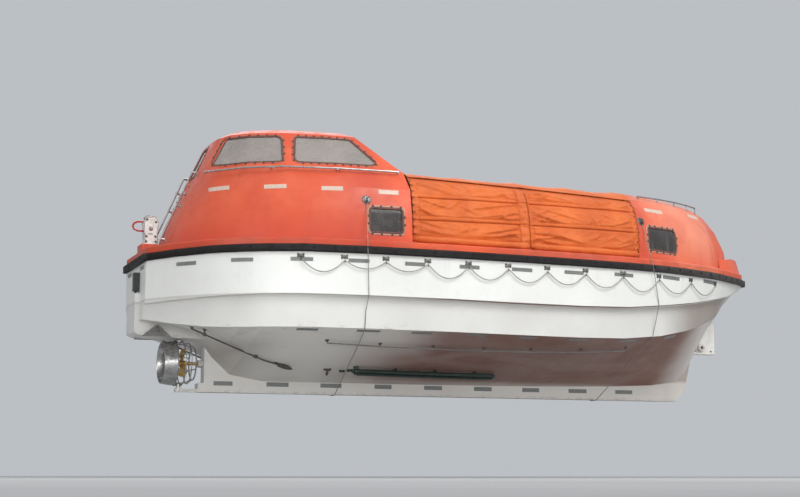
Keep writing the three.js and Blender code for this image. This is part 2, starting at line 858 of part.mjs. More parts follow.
// tube frame under the canvas: bows with feet on the side decks, shoulder rails and ridge
{
  const parts = [];
  const under = (k, x, d) => {
    const [y, z] = coverPoint(k, x);
    return [Math.max(0, y - d), z - d];
  };
  const bows = [-1430, -640, 225, 1090, 1985];
  for (const x of bows) {
    const pts = [];
    const y0 = Math.min(sheerB(x) - 167, coverPoint(0, x)[0] - CANVAS_T - 32);
    pts.push(V(x, -y0, sheerZ(x) + G1 + 6));
    pts.push(V(x, -Math.min(y0 + 5, under(1, x, 60)[0]), 2240));
    for (const k of [2, 3]) {
      const [y, z] = under(k, x, 55);
      pts.push(V(x, -y, z));
    }
    for (const k of [4, 5]) {
      const [y] = under(k, x, 0);
      pts.push(V(x, -y, coverPoint(k, x)[1] - 45));
    }
    pts.push(V(x, 0, coverPoint(6, x)[1] - 45));
    const mir = pts
      .slice(0, -1)
      .reverse()
      .map((p) => V(p.x, -p.y, p.z));
    parts.push(bar(pts.concat(mir), 16, 6));
    for (const s of [-1, 1])
      parts.push(cut(box(x - 22, x + 22, s * y0 - 22, s * y0 + 22, sheerZ(x) + G1 - 30, sheerZ(x) + G1 + 11), belowDeck(1)));
  }
  for (const s of [-1, 0, 1]) {
    const line = bows.map((x) => {
      if (!s) return V(x, 0, coverPoint(6, x)[1] - 45);
      const [y, z] = under(3, x, 55);
      return V(x, s * y, z);
    });
    parts.push(bar(line, 14, 6));
  }
  put("canopy_frame", join(parts), "steel");
}

// ---------------------------------------------------------------- grab lines
// rope hung in loops from fittings just under the strake; sag of each loop between two fittings
const LINE_X = [-3038, -2473, -1918, -1339, -758, -173, 428, 1041, 1676, 2351, 3046, 3670];
const LINE_SAG = [160, 105, 115, 178, 168, 172, 170, 178, 200, 185, 160];
const LINE_D = 14; // rope
const LINE_DROP = 92; // where the loops would meet, under the strake
const LINE_TURN = 37; // half-width of the rope's turn in the eye of a fitting
// half-breadth of the topside at x and height z
function sideB(x, z) {
  const at = (c) => lerpTable(HX, HULL.map((r) => r[c]), x);
  const zs = sheerZ(x) + FENDER_H + 2;
  const t = Math.min(1, Math.max(0, (zs - z) / (zs - at(3))));
  return at(1) + (at(2) - at(1)) * t;
}
// y of the rope: it hangs straight down from its high points, clear of the side
function linePoint(x, dz) {
  const z = sheerZ(x) - LINE_DROP;
  return [sideB(x, z) + 24, z - dz];
}
// places along the rope as [x, how far it hangs]: loops, with a round turn at each fitting
function lineRoute() {
  const loop = (i, x) => {
    const t = (x - LINE_X[i]) / (LINE_X[i + 1] - LINE_X[i]);
    return 4 * LINE_SAG[i] * t * (1 - t);
  };
  const slope = (i, x) => (loop(i, x + 1) - loop(i, x - 1)) / 2;
  const out = [];
  LINE_SAG.forEach((sag, i) => {
    const last = i === LINE_SAG.length - 1;
    const a = LINE_X[i] + (i ? LINE_TURN : 0),
      b = LINE_X[i + 1] - (last ? 0 : LINE_TURN);
    for (let k = 0; k <= 6; k++) {
      const x = a + ((b - a) * k) / 6;
      out.push([x, loop(i, x)]);
    }
    if (last) return;
    const w = 2 * LINE_TURN,
      c = b + w;
    for (const t of [0.25, 0.5, 0.75]) {
      const h = [2 * t ** 3 - 3 * t ** 2 + 1, t ** 3 - 2 * t ** 2 + t, -2 * t ** 3 + 3 * t ** 2, t ** 3 - t ** 2];
      out.push([b + w * t, h[0] * loop(i, b) + h[1] * w * slope(i, b) + h[2] * loop(i + 1, c) + h[3] * w * slope(i + 1, c)]);
    }
  });
  return out;
}
both(
  "lifeline",
  (s) => {
    const pts = lineRoute().map(([x, drop]) => {
      const [y, z] = linePoint(x, drop);
      return V(x, s * y, z);
    });
    return bar(pts, LINE_D / 2, 8);
  },
  "grey",
);

// ---------------------------------------------------------------- rails
// stand-off rail under the cabin windows: follows the sill level of the canopy
{
  const row = AFT.rows[3];
  const line = (s, out, dz = 0) =>
    [
      [-3985, 800],
      ...row.slice(2, 6).map(([x, y]) => [x, y]),
      [-1600, 1694],
    ].map(([x, y], k, all) => {
      const a = all[Math.max(0, k - 1)],
        b = all[Math.min(all.length - 1, k + 1)];
      const d = [b[0] - a[0], b[1] - a[1]];
      const l = Math.hypot(...d);
      return V(x - (d[1] / l) * out, s * (y + (d[0] / l) * out), 2872 + dz);
    });
  both(
    "cabin_rail",
    (s) => {
      const path = line(s, 62);
      const feet = line(s, 10);
      const parts = [bar(path, RAIL_R, 8)];
      for (const k of [0, 2, 4, 5]) {
        parts.push(rod(path[k], feet[k], 8, 6));
      }
      return join(parts);
    },
    "steel",
  );
}
// two long grab rails up the aft face, one each side of the hatch
both(
  "aft_handrail",
  (s) => {
    const m = (4470 - 4030) / (2870 - 1870);
    const at = (z, y, out) => V(-4470 + (z - 1870) * m - out, s * y, z);
    return join(
      bar([at(2030, 262, 12), at(2030, 262, 70), at(2975, 254, 70), at(2975, 254, 12)], 12, 8),
      rod(at(2500, 258, 70), at(2500, 258, 15), 9, 6),
    );
  },
  "steel",
);
// low rails along the shoulders of the fore canopy
both(
  "fore_rail",
  (s) => {
    // half way between the two shoulder rows
    const row = FORE.rows[4].map((p, k) => p.map((v, q) => (v + FORE.rows[3][k][q]) / 2));
    const yAt = (x) =>
      lerpTable(row.map((p) => p[0]).reverse(), row.map((p) => p[1]).reverse(), x) + 8;
    const pts = [2320, 2740, 3150, 3500, 3770].map((x) =>
      V(x, s * yAt(x), 2897 + ((x - 2320) * 50) / 1450),
    );
    const parts = [bar(pts, 12, 8)];
    for (const p of pts)
      parts.push(rod(p, V(p.x, p.y, 2875), 8, 6));
    return join(parts);
  },
  "steel",
);

// ---------------------------------------------------------------- lifting hooks
// frame of two cheek plates on a foot; the claw turns between them
const PIN_W = 222; // claw pin over the hook's foot
const HOOKS = [
  // name, x, foot height, claw mouth faces
  { name: "aft_hook", x: -4565, z: 1976, dir: -1 },
  { name: "fore_hook", x: 4030, z: 1976, dir: -1 },
];
for (const h of HOOKS) {
  const d = h.dir;
  const P = (u, w) => [h.x + d * u, h.z + w];
  const cheek = [P(-105, 0), P(85, 0), P(85, 120), P(100, 300), P(60, 385), P(-60, 405), P(-110, 330), P(-100, 140)];
  const plate = (y0, y1) => prism(d > 0 ? cheek : cheek.slice().reverse(), "y", y0, y1);
  const parts = [
    plate(-62, -48),
    plate(48, 62),
    box(h.x - 110, h.x + 110, -100, 100, h.z + 0.5, h.z + 18),
    box(h.x - 108 * (d > 0 ? 1 : 0.78), h.x + 108 * (d > 0 ? 0.78 : 1), -55, 55, h.z + 10, h.z + 90),
    rod(V(h.x, -70, h.z + PIN_W), V(h.x, 70, h.z + PIN_W), 14, 14),
  ];
  put(h.name + "_frame", join(parts), "paint");
  // claw: hub, shank and curved beak, thinner than the gap
  const claw = [
    P(-60, 215), P(-28, 170), P(30, 172), P(62, 215), P(60, 265), P(30, 292),
    P(18, 318), P(38, 352), P(72, 350), P(84, 372), P(60, 402), P(10, 410),
    P(-34, 384), P(-50, 325), P(-58, 270),
  ];
  put(
    h.name,
    cut(
      prism(d > 0 ? claw : claw.slice().reverse(), "y", -36, 36),
      rod(V(h.x, -60, h.z + PIN_W), V(h.x, 60, h.z + PIN_W), 16, 14),
    ),
    "galv",
  );
}
// red link shackled to the aft hook frame
{
  const z = 2232;
  const pts = [
    V(-4676, -40, z + 64),
    V(-4790, -40, z + 62),
    V(-4838, -40, z + 40),
    V(-4856, -40, z),
    V(-4838, -40, z - 40),
    V(-4790, -40, z - 62),
    V(-4676, -40, z - 64),
  ].map((p) => V(p.x + 56, 0, p.z));
  const link = join(
    bar(pts, 13, 8),
    rod(V(-4632, -28, z + 64), V(-4632, 28, z + 64), 17, 8),
    rod(V(-4632, -28, z - 64), V(-4632, 28, z - 64), 17, 8),
  );
  put("hang_off_link", cut(link, box(-4640, -4300, -80, 80, 1900, 2500)).decompose().sort((a, b) => b.volume() - a.volume())[0], "red");
}

// ---------------------------------------------------------------- stern gear
// steering nozzle: tapered ring, guard hoops and bars, stock above and pin below
{
  const ring = [
    // radius, distance aft(-)/fore(+) of the steering axis
    [262, -56],
    [292, -52],
    [302, -70],
    [297, -130],
    [281, -242],
    [273, -247],
    [267, -238],
    [259, -140],
  ];
  const lathe = new THREE.LatheGeometry(
    ring.concat([ring[0]]).map(([r, d]) => new THREE.Vector2(r, d)),
    28,
  );
  lathe.rotateZ(-Math.PI / 2); // lathe axis +Y to +X
  const place = (s) => s.translate([STEER_X, 0, NOZZLE_Z]);
  let body = solid(lathe);
  if (body.volume() < 0) {
    const g = new THREE.LatheGeometry(
      ring
        .concat([ring[0]])
        .reverse()
        .map(([r, d]) => new THREE.Vector2(r, d)),
      28,
    );
    g.rotateZ(-Math.PI / 2);
    body = solid(g);
  }
  const hoop = (r, d, w) => {
    const g = new THREE.TorusGeometry(r, w, 5, 20);
    g.rotateY(Math.PI / 2);
    g.translate(d, 0, 0);
    return solid(g);
  };
  const parts = [body, hoop(292, 40, 9), hoop(276, 120, 9), hoop(222, 192, 11)];
  for (let k = 0; k < 8; k++) {
    const t = ((k + 0.5) / 8) * Math.PI * 2;
    const c = Math.cos(t),
      s = Math.sin(t);
    const at = (r, d) => V(d, r * c, r * s);
    parts.push(bar([at(292, -58), at(292, 40), at(276, 120), at(222, 192)], 8, 6));
  }
  // stock and bottom pin with their pads
  parts.push(rod(V(0, 0, 286), V(0, 0, 308), 60, 12));
  parts.push(rod(V(0, 0, 300), V(0, 0, 311), 30, 12));
  parts.push(bar([V(-72, 0, 296), V(45, 0, 292)], 16, 8));
  parts.push(bar([V(-72, 0, -296), V(45, 0, -292)], 14, 8));
  parts.push(rod(V(0, 0, -280), V(0, 0, -320), 26, 12));
  put("steering_nozzle", place(join(parts)), "steel");
}
// three-blade propeller on its shaft
{
  const blades = [];
  for (let k = 0; k < 3; k++) {
    const t = (k / 3) * Math.PI * 2 + 0.5;
    const rings = [
      // radius, chord half-width, pitch (rad), half thickness
      [34, 38, 1.05, 9],
      [80, 62, 0.95, 7],
      [140, 76, 0.75, 5],
      [190, 58, 0.6, 4],
      [PROP_R, 20, 0.52, 3],
    ].map(([r, c, p, h]) => {
      const u = V(Math.cos(p), Math.sin(p), 0); // chord direction: x, tangential
      const w = V(-Math.sin(p), Math.cos(p), 0);
      return [
        [-c, 0],
        [0, -h],
        [c, 0],
        [0, h],
      ].map(([a, b]) => {
        const q = u.clone().multiplyScalar(a).add(w.clone().multiplyScalar(b));
        return V(q.x, q.y, r);
      });
    });
    const s = loft(rings, 0, 1);
    blades.push(s.rotate([(t * 180) / Math.PI, 0, 0]));
  }
  const hub = rod(V(-62, 0, 0), V(52, 0, 0), 44, 14, 40);
  const cone = rod(V(-95, 0, 0), V(-60, 0, 0), 16, 14, 43);
  const shaft = rod(V(40, 0, 0), V(330, 0, 0), 22, 12);
  put(
    "propeller",
    join(blades, hub, cone, shaft).translate([STEER_X + 40, 0, NOZZLE_Z]),
    "brass",
  );
}

// small items under the hull
// surface height of the bottom panel at x and half-breadth y
function bottomZ(x, y) {
  const at = (c) => lerpTable(HX, HULL.map((r) => r[c]), x);
  const kw = at(9),
    bc = at(5),
    zc = at(6),
    zb = at(7);
  const mid = 0.52;
  const ym = kw + (bc - kw) * mid,
    zm = zb + (zc - zb) * mid - 12 * Math.min(1, bc / 900);
  if (y < ym) return zb + ((zm - zb) * (y - kw)) / (ym - kw);
  return zm + ((zc - zm) * (y - ym)) / (bc - ym);
}
// keel cooler: a hairpin of two pipes along the bottom
both(
  "keel_cooler",
  (s) => {
    const yOut = (x) => 700 - ((x + 1450) * 60) / 1650;
    const p = (x, y, d) => V(x, s * (y + d * 0.3), bottomZ(x, y) - d);
    const x0 = -1830,
      x1 = 262,
      gap = 120;
    const run = [x0 + 50, -1300, -700, -200, x1 - 70];
    return bar(
      [
        p(x0, yOut(x0), 36),
        ...run.map((x) => p(x, yOut(x), 50)),
        p(x1 - 18, yOut(x1) - 24, 50),
        p(x1, yOut(x1) - gap / 2, 50),
        p(x1 - 18, yOut(x1) - gap + 24, 50),
        ...run.slice().reverse().map((x) => p(x, yOut(x) - gap, 50)),
        p(x0, yOut(x0) - gap, 36),
      ],
      24,
      8,
    );
  },
  "green",
);
// grab rails along the bottom, just inside the chine
both(
  "bottom_rail",
  (s) => {
    const line = [
      [-2526, 1561],
      [-1781, 1521],
      [-1021, 1501],
      [-266, 1471],
      [450, 1440],
      [1241, 1389],
      [1990, 1300],
    ];
    const p = ([x, y], d) => V(x, s * (y + d * 0.3), bottomZ(x, y) - d);
    const parts = [bar(line.map((q) => p(q, 42)), 10, 6)];
    line.forEach((q) => parts.push(rod(p(q, 44), p(q, q[0] > 1900 ? 18 : 9), 9, 6)));
    return join(parts);
  },
  "grey",
);
// triangular securing lugs on the sides of the stern box
both(
  "stern_lug",
  (s) => {
    const y0 = s < 0 ? -298 : 281,
      y1 = s < 0 ? -281 : 298;
    return join(
      prism([[-4700, 716], [-4300, 716], [-4470, 866], [-4510, 866]], "y", y0, y1),
      rod(V(-4490, s * 285, 806), V(-4490, s * 318, 806), 34, 12),
    );
  },
  "grey",
);
// control box on the transom
put("transom_box", box(-4822, -4741.5, -290, -200, 1310, 1560), "black");

// ---------------------------------------------------------------- inside
// side benches between the well wall and the aisle
both(
  "side_bench",
  (s) => {
    const xs = [-2100, -1000, 0, 1000, 1800, 2100];
    const row = xs.map((x) => [x, lerpTable(HX, HULL.map((r) => r[5]), x) - 105]);
    const poly = row
      .map(([x, y]) => [x, s * y])
      .concat(row.slice().reverse().map(([x, y]) => [x, s * (y - 430)]));
    const ordered = s < 0 ? poly : poly.slice().reverse();
    return prism(ordered, "z", FLOOR_Z + 55, FLOOR_Z + 480);
  },
  "white",
);
put("centre_bench", box(-1900, 2100, -360, 360, FLOOR_Z + 55, FLOOR_Z + 480), "white");
// engine under the helm platform
put("engine_block", box(-3500, -2720, -250, 250, FLOOR_Z + 2, FLOOR_Z + 560), "grey");
{
  // platform over the engine, open to the front
  const s = cut(
    box(-3620, -2350, -420, 420, FLOOR_Z + 1, 1620),
    box(-3580, -2300, -380, 380, FLOOR_Z - 10, 1580),
  );
  put("helm_platform", s, "white");
  // console with a sloping top
  put(
    "helm_console",
    join(
      prism([[-2420, 1621], [-2150, 1621], [-2150, 2600], [-2330, 2640], [-2420, 2480]], "y", -380, 380),
      rod(V(-2516.5, 0, 2535.9), V(-2344, 0, 2598.8), 24, 12),
    ),
    "white",
  );
  // seat on a post
  put(
    "helm_seat",
    join(
      rod(V(-3050, 0, 1621), V(-3050, 0, 2100), 45, 12),
      rod(V(-3050, 0, 1621), V(-3050, 0, 1640), 130, 16),
      box(-3270, -2830, -230, 230, 2095, 2165),
      prism([[-3270, 2140], [-3200, 2140], [-3290, 2620], [-3350, 2620]], "y", -220, 220),
    ),
    "dark",
  );
  // wheel facing aft, its axis tilted up
  const tilt = 0.35;
  const ring = new THREE.TorusGeometry(190, 13, 6, 24);
  const wheelParts = [solid(ring), rod(V(0, 0, -8), V(0, 0, 40), 34, 12)];
  for (let k = 0; k < 3; k++) {
    const t = (k / 3) * Math.PI * 2 + Math.PI / 2;
    wheelParts.push(rod(V(0, 0, 10), V(186 * Math.cos(t), 186 * Math.sin(t), 0), 10, 6));
  }
  const wheel = join(wheelParts);
  const m = new THREE.Group();
  const mesh = new THREE.Mesh(
    geometryOf(wheel),
    new THREE.MeshStandardMaterial({ color: COL.black[0], roughness: 0.5 }),
  );
  mesh.name = "helm_wheel";
  m.add(mesh);
  m.rotation.y = Math.PI / 2 - tilt; // local +Z to the axis that points forward and up
  m.position.set(-2560, 0, 2520);
  boat.add(m);
}

export default root;
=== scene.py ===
import bpy
import json
import math
import random
from mathutils import Vector, Matrix, noise as mnoise
from mathutils.bvhtree import BVHTree


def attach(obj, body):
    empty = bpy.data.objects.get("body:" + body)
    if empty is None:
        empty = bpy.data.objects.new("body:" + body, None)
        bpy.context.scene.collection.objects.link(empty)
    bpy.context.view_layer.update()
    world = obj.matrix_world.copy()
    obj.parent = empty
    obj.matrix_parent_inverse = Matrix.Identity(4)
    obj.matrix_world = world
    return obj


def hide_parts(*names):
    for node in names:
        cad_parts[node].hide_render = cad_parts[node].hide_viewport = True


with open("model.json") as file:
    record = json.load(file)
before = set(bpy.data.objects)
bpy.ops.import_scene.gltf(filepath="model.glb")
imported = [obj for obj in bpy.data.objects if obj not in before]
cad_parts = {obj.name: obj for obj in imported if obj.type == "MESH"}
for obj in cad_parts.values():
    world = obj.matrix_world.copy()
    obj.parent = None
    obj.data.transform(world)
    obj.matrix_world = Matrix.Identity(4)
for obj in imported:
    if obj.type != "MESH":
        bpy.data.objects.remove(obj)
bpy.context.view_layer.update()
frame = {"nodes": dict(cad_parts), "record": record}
NODES = frame["nodes"]
SCENE = bpy.context.scene
SCENE.view_settings.view_transform = "Standard"
SCENE.view_settings.look = "None"
KEEL = 0.72  # keel underside under the waterline

# ------------------------------------------------------------------ camera
CAM_POS = Vector((-8.694, -20.743, -1.843))
YAW, PITCH, ROLL = (math.radians(a) for a in (20.518, 8.337, 0.037))
_fwd = Vector((math.sin(YAW) * math.cos(PITCH), math.cos(YAW) * math.cos(PITCH), math.sin(PITCH)))
_right = Vector((math.cos(YAW), -math.sin(YAW), 0))
_up = _right.cross(_fwd)
_r = _right * math.cos(ROLL) + _up * math.sin(ROLL)
_u = -_right * math.sin(ROLL) + _up * math.cos(ROLL)
cam_data = bpy.data.cameras.new("camera")
cam_data.sensor_width = 36
cam_data.lens = 1553.5 * 36 / 800
cam_data.clip_start, cam_data.clip_end = 0.1, 500
cam = bpy.data.objects.new("camera", cam_data)
SCENE.collection.objects.link(cam)
cam.matrix_world = Matrix(
    (
        (_r.x, _u.x, -_fwd.x, CAM_POS.x),
        (_r.y, _u.y, -_fwd.y, CAM_POS.y),
        (_r.z, _u.z, -_fwd.z, CAM_POS.z),
        (0, 0, 0, 1),
    )
)
SCENE.camera = cam

# ------------------------------------------------------------------ the CAD's tables, in mm
SHEER = [(-4740, 1665), (-4200, 1686), (-3000, 1697), (0, 1697), (1500, 1706), (3000, 1734), (4000, 1758), (4762, 1802)]
# x, half-breadth under the strake, half-breadth and height of the knuckle
SIDE = [
    (-4740, 690, 660, 1110), (-4450, 1120, 1090, 1125), (-4100, 1510, 1480, 1143), (-3900, 1670, 1640, 1150),
    (-3700, 1805, 1775, 1157), (-3450, 1925, 1895, 1164), (-3000, 2060, 2030, 1170), (-2200, 2130, 2100, 1170),
    (-1000, 2125, 2095, 1168), (0, 2075, 2045, 1160), (1000, 1965, 1930, 1170), (1800, 1830, 1790, 1200),
    (2500, 1620, 1570, 1275), (3100, 1350, 1290, 1360), (3500, 1135, 1065, 1435), (3680, 1030, 955, 1470),
    (3800, 950, 870, 1495), (4000, 790, 700, 1540), (4280, 540, 440, 1608), (4530, 310, 205, 1695),
    (4700, 130, 80, 1762), (4762, 21, 18, 1790),
]
LINE_X = [-3038, -2473, -1918, -1339, -758, -173, 428, 1041, 1676, 2351, 3046, 3670]
LINE_SAG = [160, 105, 115, 178, 168, 172, 170, 178, 200, 185, 160]
LINE_D, LINE_DROP, LINE_TURN = 14, 92, 37


def lerp_table(rows, x, c=1):
    for a, b in zip(rows, rows[1:]):
        if x <= b[0]:
            t = max(0.0, (x - a[0]) / (b[0] - a[0]))
            return a[c] + (b[c] - a[c]) * t
    return rows[-1][c]


def sheer_z(x):
    return lerp_table(SHEER, x)


def side_b(x, z):
    zs = sheer_z(x) + 100
    t = min(1, max(0, (zs - z) / (zs - lerp_table(SIDE, x, 3))))
    b, k = lerp_table(SIDE, x, 1), lerp_table(SIDE, x, 2)
    return b + (k - b) * t


# ------------------------------------------------------------------ cords: the grab lines in loops
def line_route():
    def loop(i, x):
        t = (x - LINE_X[i]) / (LINE_X[i + 1] - LINE_X[i])
        return 4 * LINE_SAG[i] * t * (1 - t)

    def slope(i, x):
        return (loop(i, x + 1) - loop(i, x - 1)) / 2

    out = []
    for i in range(len(LINE_SAG)):
        last = i == len(LINE_SAG) - 1
        a = LINE_X[i] + (LINE_TURN if i else 0)
        b = LINE_X[i + 1] - (0 if last else LINE_TURN)
        for k in range(13):
            x = a + (b - a) * k / 12
            out.append((x, loop(i, x)))
        if last:
            break
        w = 2 * LINE_TURN
        c = b + w
        for t in (0.125, 0.25, 0.375, 0.5, 0.625, 0.75, 0.875):
            h = (2 * t**3 - 3 * t**2 + 1, t**3 - 2 * t**2 + t, -2 * t**3 + 3 * t**2, t**3 - t**2)
            out.append((b + w * t, h[0] * loop(i, b) + h[1] * w * slope(i, b) + h[2] * loop(i + 1, c) + h[3] * w * slope(i + 1, c)))
    return out


def line_points(s):
    pts = []
    for x, drop in line_route():
        z = sheer_z(x) - LINE_DROP
        pts.append(Vector((x / 1000, s * (side_b(x, z) + 24) / 1000, (z - drop) / 1000 - KEEL)))
    return pts


def curve_tube(name, pts, r, res=3):
    c = bpy.data.curves.new(name, "CURVE")
    c.dimensions = "3D"
    c.bevel_depth = 1.0
    c.bevel_resolution = res
    c.use_fill_caps = True
    sp = c.splines.new("POLY")
    sp.points.add(len(pts) - 1)
    for p, q in zip(sp.points, pts):
        p.co = (*q, 1)
        p.radius = r  # times the bevel's depth of 1; the curve's own box grows by the radius
    sp.use_smooth = True
    o = bpy.data.objects.new(name, c)
    SCENE.collection.objects.link(o)
    return o


LINES = {}
for side, s in (("stbd", -1), ("port", 1)):
    pts = line_points(s)
    o = curve_tube(f"grab_line_{side}", pts, LINE_D / 2000)
    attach(o, "boat")
    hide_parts(f"lifeline_{side}")
    length = sum((b - a).length for a, b in zip(pts, pts[1:]))
    LINES[side] = (o, pts[0], length)

# ------------------------------------------------------------------ floor, sky and lights
FLOOR_Z = -1.865  # just under the camera's height, which is the floor's level


def link(o):
    SCENE.collection.objects.link(o)
    return o


floor_mesh = bpy.data.meshes.new("floor")
R = 90
floor_mesh.from_pydata([(-R, -R, FLOOR_Z), (R, -R, FLOOR_Z), (R, R, FLOOR_Z), (-R, R, FLOOR_Z)], [], [(0, 1, 2, 3)])
floor = link(bpy.data.objects.new("floor", floor_mesh))

world = bpy.data.worlds.new("studio")
SCENE.world = world
world.use_nodes = True
wt = world.node_tree
wt.nodes.clear()


def wnode(kind, **kw):
    n = wt.nodes.new(kind)
    for k, v in kw.items():
        setattr(n, k, v)
    return n


w_co = wnode("ShaderNodeTexCoord")
w_sep = wnode("ShaderNodeSeparateXYZ")
w_map = wnode("ShaderNodeMapRange")
w_ramp = wnode("ShaderNodeValToRGB")
w_path = wnode("ShaderNodeLightPath")
w_mix = wnode("ShaderNodeMix", data_type="RGBA")
w_bg = wnode("ShaderNodeBackground")
w_out = wnode("ShaderNodeOutputWorld")
w_map.inputs["From Min"].default_value = -1
w_map.inputs["From Max"].default_value = 1
els = w_ramp.color_ramp.elements
els[0].position, els[0].color = 0.0, (0.05, 0.045, 0.042, 1)
els[1].position, els[1].color = 1.0, (0.86, 0.88, 0.91, 1)
e = els.new(0.49)
e.color = (0.11, 0.10, 0.095, 1)
e = els.new(0.56)
e.color = (0.34, 0.35, 0.365, 1)
e = els.new(0.72)
e.color = (0.62, 0.64, 0.665, 1)
wt.links.new(w_co.outputs["Generated"], w_sep.inputs[0])
wt.links.new(w_sep.outputs["Z"], w_map.inputs["Value"])
wt.links.new(w_map.outputs[0], w_ramp.inputs[0])
wt.links.new(w_path.outputs["Is Camera Ray"], w_mix.inputs["Factor"])
wt.links.new(w_ramp.outputs[0], w_mix.inputs["A"])
w_mix.inputs["B"].default_value = (0.50, 0.525, 0.55, 1)
wt.links.new(w_mix.outputs["Result"], w_bg.inputs["Color"])
w_bg.inputs["Strength"].default_value = 1.0
wt.links.new(w_bg.outputs[0], w_out.inputs[0])


def area(name, loc, target, size, power, colour=(1, 1, 1), spread=180):
    d = bpy.data.lights.new(name, "AREA")
    d.shape = "RECTANGLE"
    d.spread = math.radians(spread)
    d.size, d.size_y = size
    d.energy = power
    d.color = colour
    o = link(bpy.data.objects.new(name, d))
    o.location = loc
    o.rotation_euler = (Vector(target) - Vector(loc)).to_track_quat("-Z", "Y").to_euler()
    return o


area("key", (5.5, -17.5, 17), (0.4, -1.5, 0.8), (15, 9), 3200, (1.0, 0.985, 0.96))
area("fill_aft", (-16, -12, 6), (-3, 0, 0.6), (8, 6), 520, (0.98, 0.98, 1.0))
# long and low in front, for the keel and the turn of the bottom
area("fill_low", (-5, -17, 0.45), (-1.0, -0.5, -0.2), (18, 1.8), 120, (1.0, 0.98, 0.955), 60)
area("fill_bow", (13, -13, 5), (3.4, -1.0, 0.4), (6, 5), 260, (1.0, 0.99, 0.97))
area("back", (2, 14, 11), (0, 0, 1), (14, 8), 700, (0.97, 0.98, 1.0))


# ------------------------------------------------------------------ materials
class Mat:
    """Small builder for a procedural material on one Principled shader."""

    def __init__(self, name, metallic=0.0, **sockets):
        self.m = bpy.data.materials.new(name)
        self.m.use_nodes = True
        self.t = self.m.node_tree
        self.t.nodes.clear()
        self.out = self.t.nodes.new("ShaderNodeOutputMaterial")
        self.bsdf = self.t.nodes.new("ShaderNodeBsdfPrincipled")
        self.t.links.new(self.bsdf.outputs[0], self.out.inputs[0])
        self.bsdf.inputs["Metallic"].default_value = metallic
        for k, v in sockets.items():
            self.bsdf.inputs[k.replace("_", " ")].default_value = v
        self.co = self.t.nodes.new("ShaderNodeTexCoord").outputs["Object"]
        self.xyz = None
        self.last_bump = None

    def node(self, kind, **kw):
        n = self.t.nodes.new(kind)
        for k, v in kw.items():
            setattr(n, k, v)
        return n

    def put(self, value, socket):
        if hasattr(value, "links"):
            self.t.links.new(value, socket)
        else:
            socket.default_value = value

    def scaled(self, s):
        n = self.node("ShaderNodeMapping")
        self.t.links.new(self.co, n.inputs[0])
        n.inputs["Scale"].default_value = s
        return n.outputs[0]

    def noise(self, scale, detail=3, rough=0.55, stretch=None, warp=0.0):
        n = self.node("ShaderNodeTexNoise")
        self.t.links.new(self.scaled(stretch) if stretch else self.co, n.inputs["Vector"])
        n.inputs["Scale"].default_value = scale
        n.inputs["Detail"].default_value = detail
        n.inputs["Roughness"].default_value = rough
        n.inputs["Distortion"].default_value = warp
        return n.outputs["Fac"]

    def voronoi(self, scale, feature="F1", stretch=None):
        n = self.node("ShaderNodeTexVoronoi", feature=feature)
        self.t.links.new(self.scaled(stretch) if stretch else self.co, n.inputs["Vector"])
        n.inputs["Scale"].default_value = scale
        return n.outputs["Distance"]

    def wave(self, scale, axis="X", warp=0.0):
        n = self.node("ShaderNodeTexWave", bands_direction=axis)
        self.t.links.new(self.co, n.inputs["Vector"])
        n.inputs["Scale"].default_value = scale
        n.inputs["Distortion"].default_value = warp
        return n.outputs["Fac"]

    def axis(self, k):
        if self.xyz is None:
            self.xyz = self.node("ShaderNodeSeparateXYZ")
            self.t.links.new(self.co, self.xyz.inputs[0])
        return self.xyz.outputs[k]

    def normal(self, k):
        g = self.node("ShaderNodeNewGeometry")
        s = self.node("ShaderNodeSeparateXYZ")
        self.t.links.new(g.outputs["Normal"], s.inputs[0])
        return s.outputs[k]

    def fit(self, v, a, b, c=0.0, d=1.0, smooth=True):
        n = self.node("ShaderNodeMapRange")
        n.interpolation_type = "SMOOTHSTEP" if smooth else "LINEAR"
        self.put(v, n.inputs["Value"])
        for k, x in zip(("From Min", "From Max", "To Min", "To Max"), (a, b, c, d)):
            n.inputs[k].default_value = x
        return n.outputs[0]

    def math(self, op, a, b=0.0, clamp=False):
        n = self.node("ShaderNodeMath", operation=op, use_clamp=clamp)
        self.put(a, n.inputs[0])
        self.put(b, n.inputs[1])
        return n.outputs[0]

    def mix(self, fac, a, b, mode="MIX"):
        n = self.node("ShaderNodeMix", data_type="RGBA", blend_type=mode)
        n.clamp_factor = True
        self.put(fac, n.inputs["Factor"])
        for v, s in ((a, n.inputs["A"]), (b, n.inputs["B"])):
            self.put((*v, 1) if isinstance(v, tuple) and len(v) == 3 else v, s)
        return n.outputs["Result"]

    def edge(self, r=0.006, samples=4):
        """1 near a sharp edge, 0 on the flat"""
        b = self.node("ShaderNodeBevel", samples=samples)
        b.inputs["Radius"].default_value = r
        g = self.node("ShaderNodeNewGeometry")
        d = self.node("ShaderNodeVectorMath", operation="DOT_PRODUCT")
        self.t.links.new(b.outputs[0], d.inputs[0])
        self.t.links.new(g.outputs["Normal"], d.inputs[1])
        return self.fit(d.outputs["Value"], 0.995, 0.90)

    def bump(self, height, strength=0.3, distance=0.002):
        n = self.node("ShaderNodeBump")
        n.inputs["Strength"].default_value = strength
        n.inputs["Distance"].default_value = distance
        self.put(height, n.inputs["Height"])
        if self.last_bump is not None:
            self.t.links.new(self.last_bump, n.inputs["Normal"])
        self.last_bump = n.outputs[0]
        return self

    def rounded(self, r=0.004, samples=4):
        """soft edges in the shading of hard-edged mouldings"""
        b = self.node("ShaderNodeBevel", samples=samples)
        b.inputs["Radius"].default_value = r
        self.last_bump = b.outputs[0]
        return self

    def done(self, colour, rough):
        self.put((*colour, 1) if isinstance(colour, tuple) and len(colour) == 3 else colour, self.bsdf.inputs["Base Color"])
        self.put(rough, self.bsdf.inputs["Roughness"])
        if self.last_bump is not None:
            self.t.links.new(self.last_bump, self.bsdf.inputs["Normal"])
        return self.m


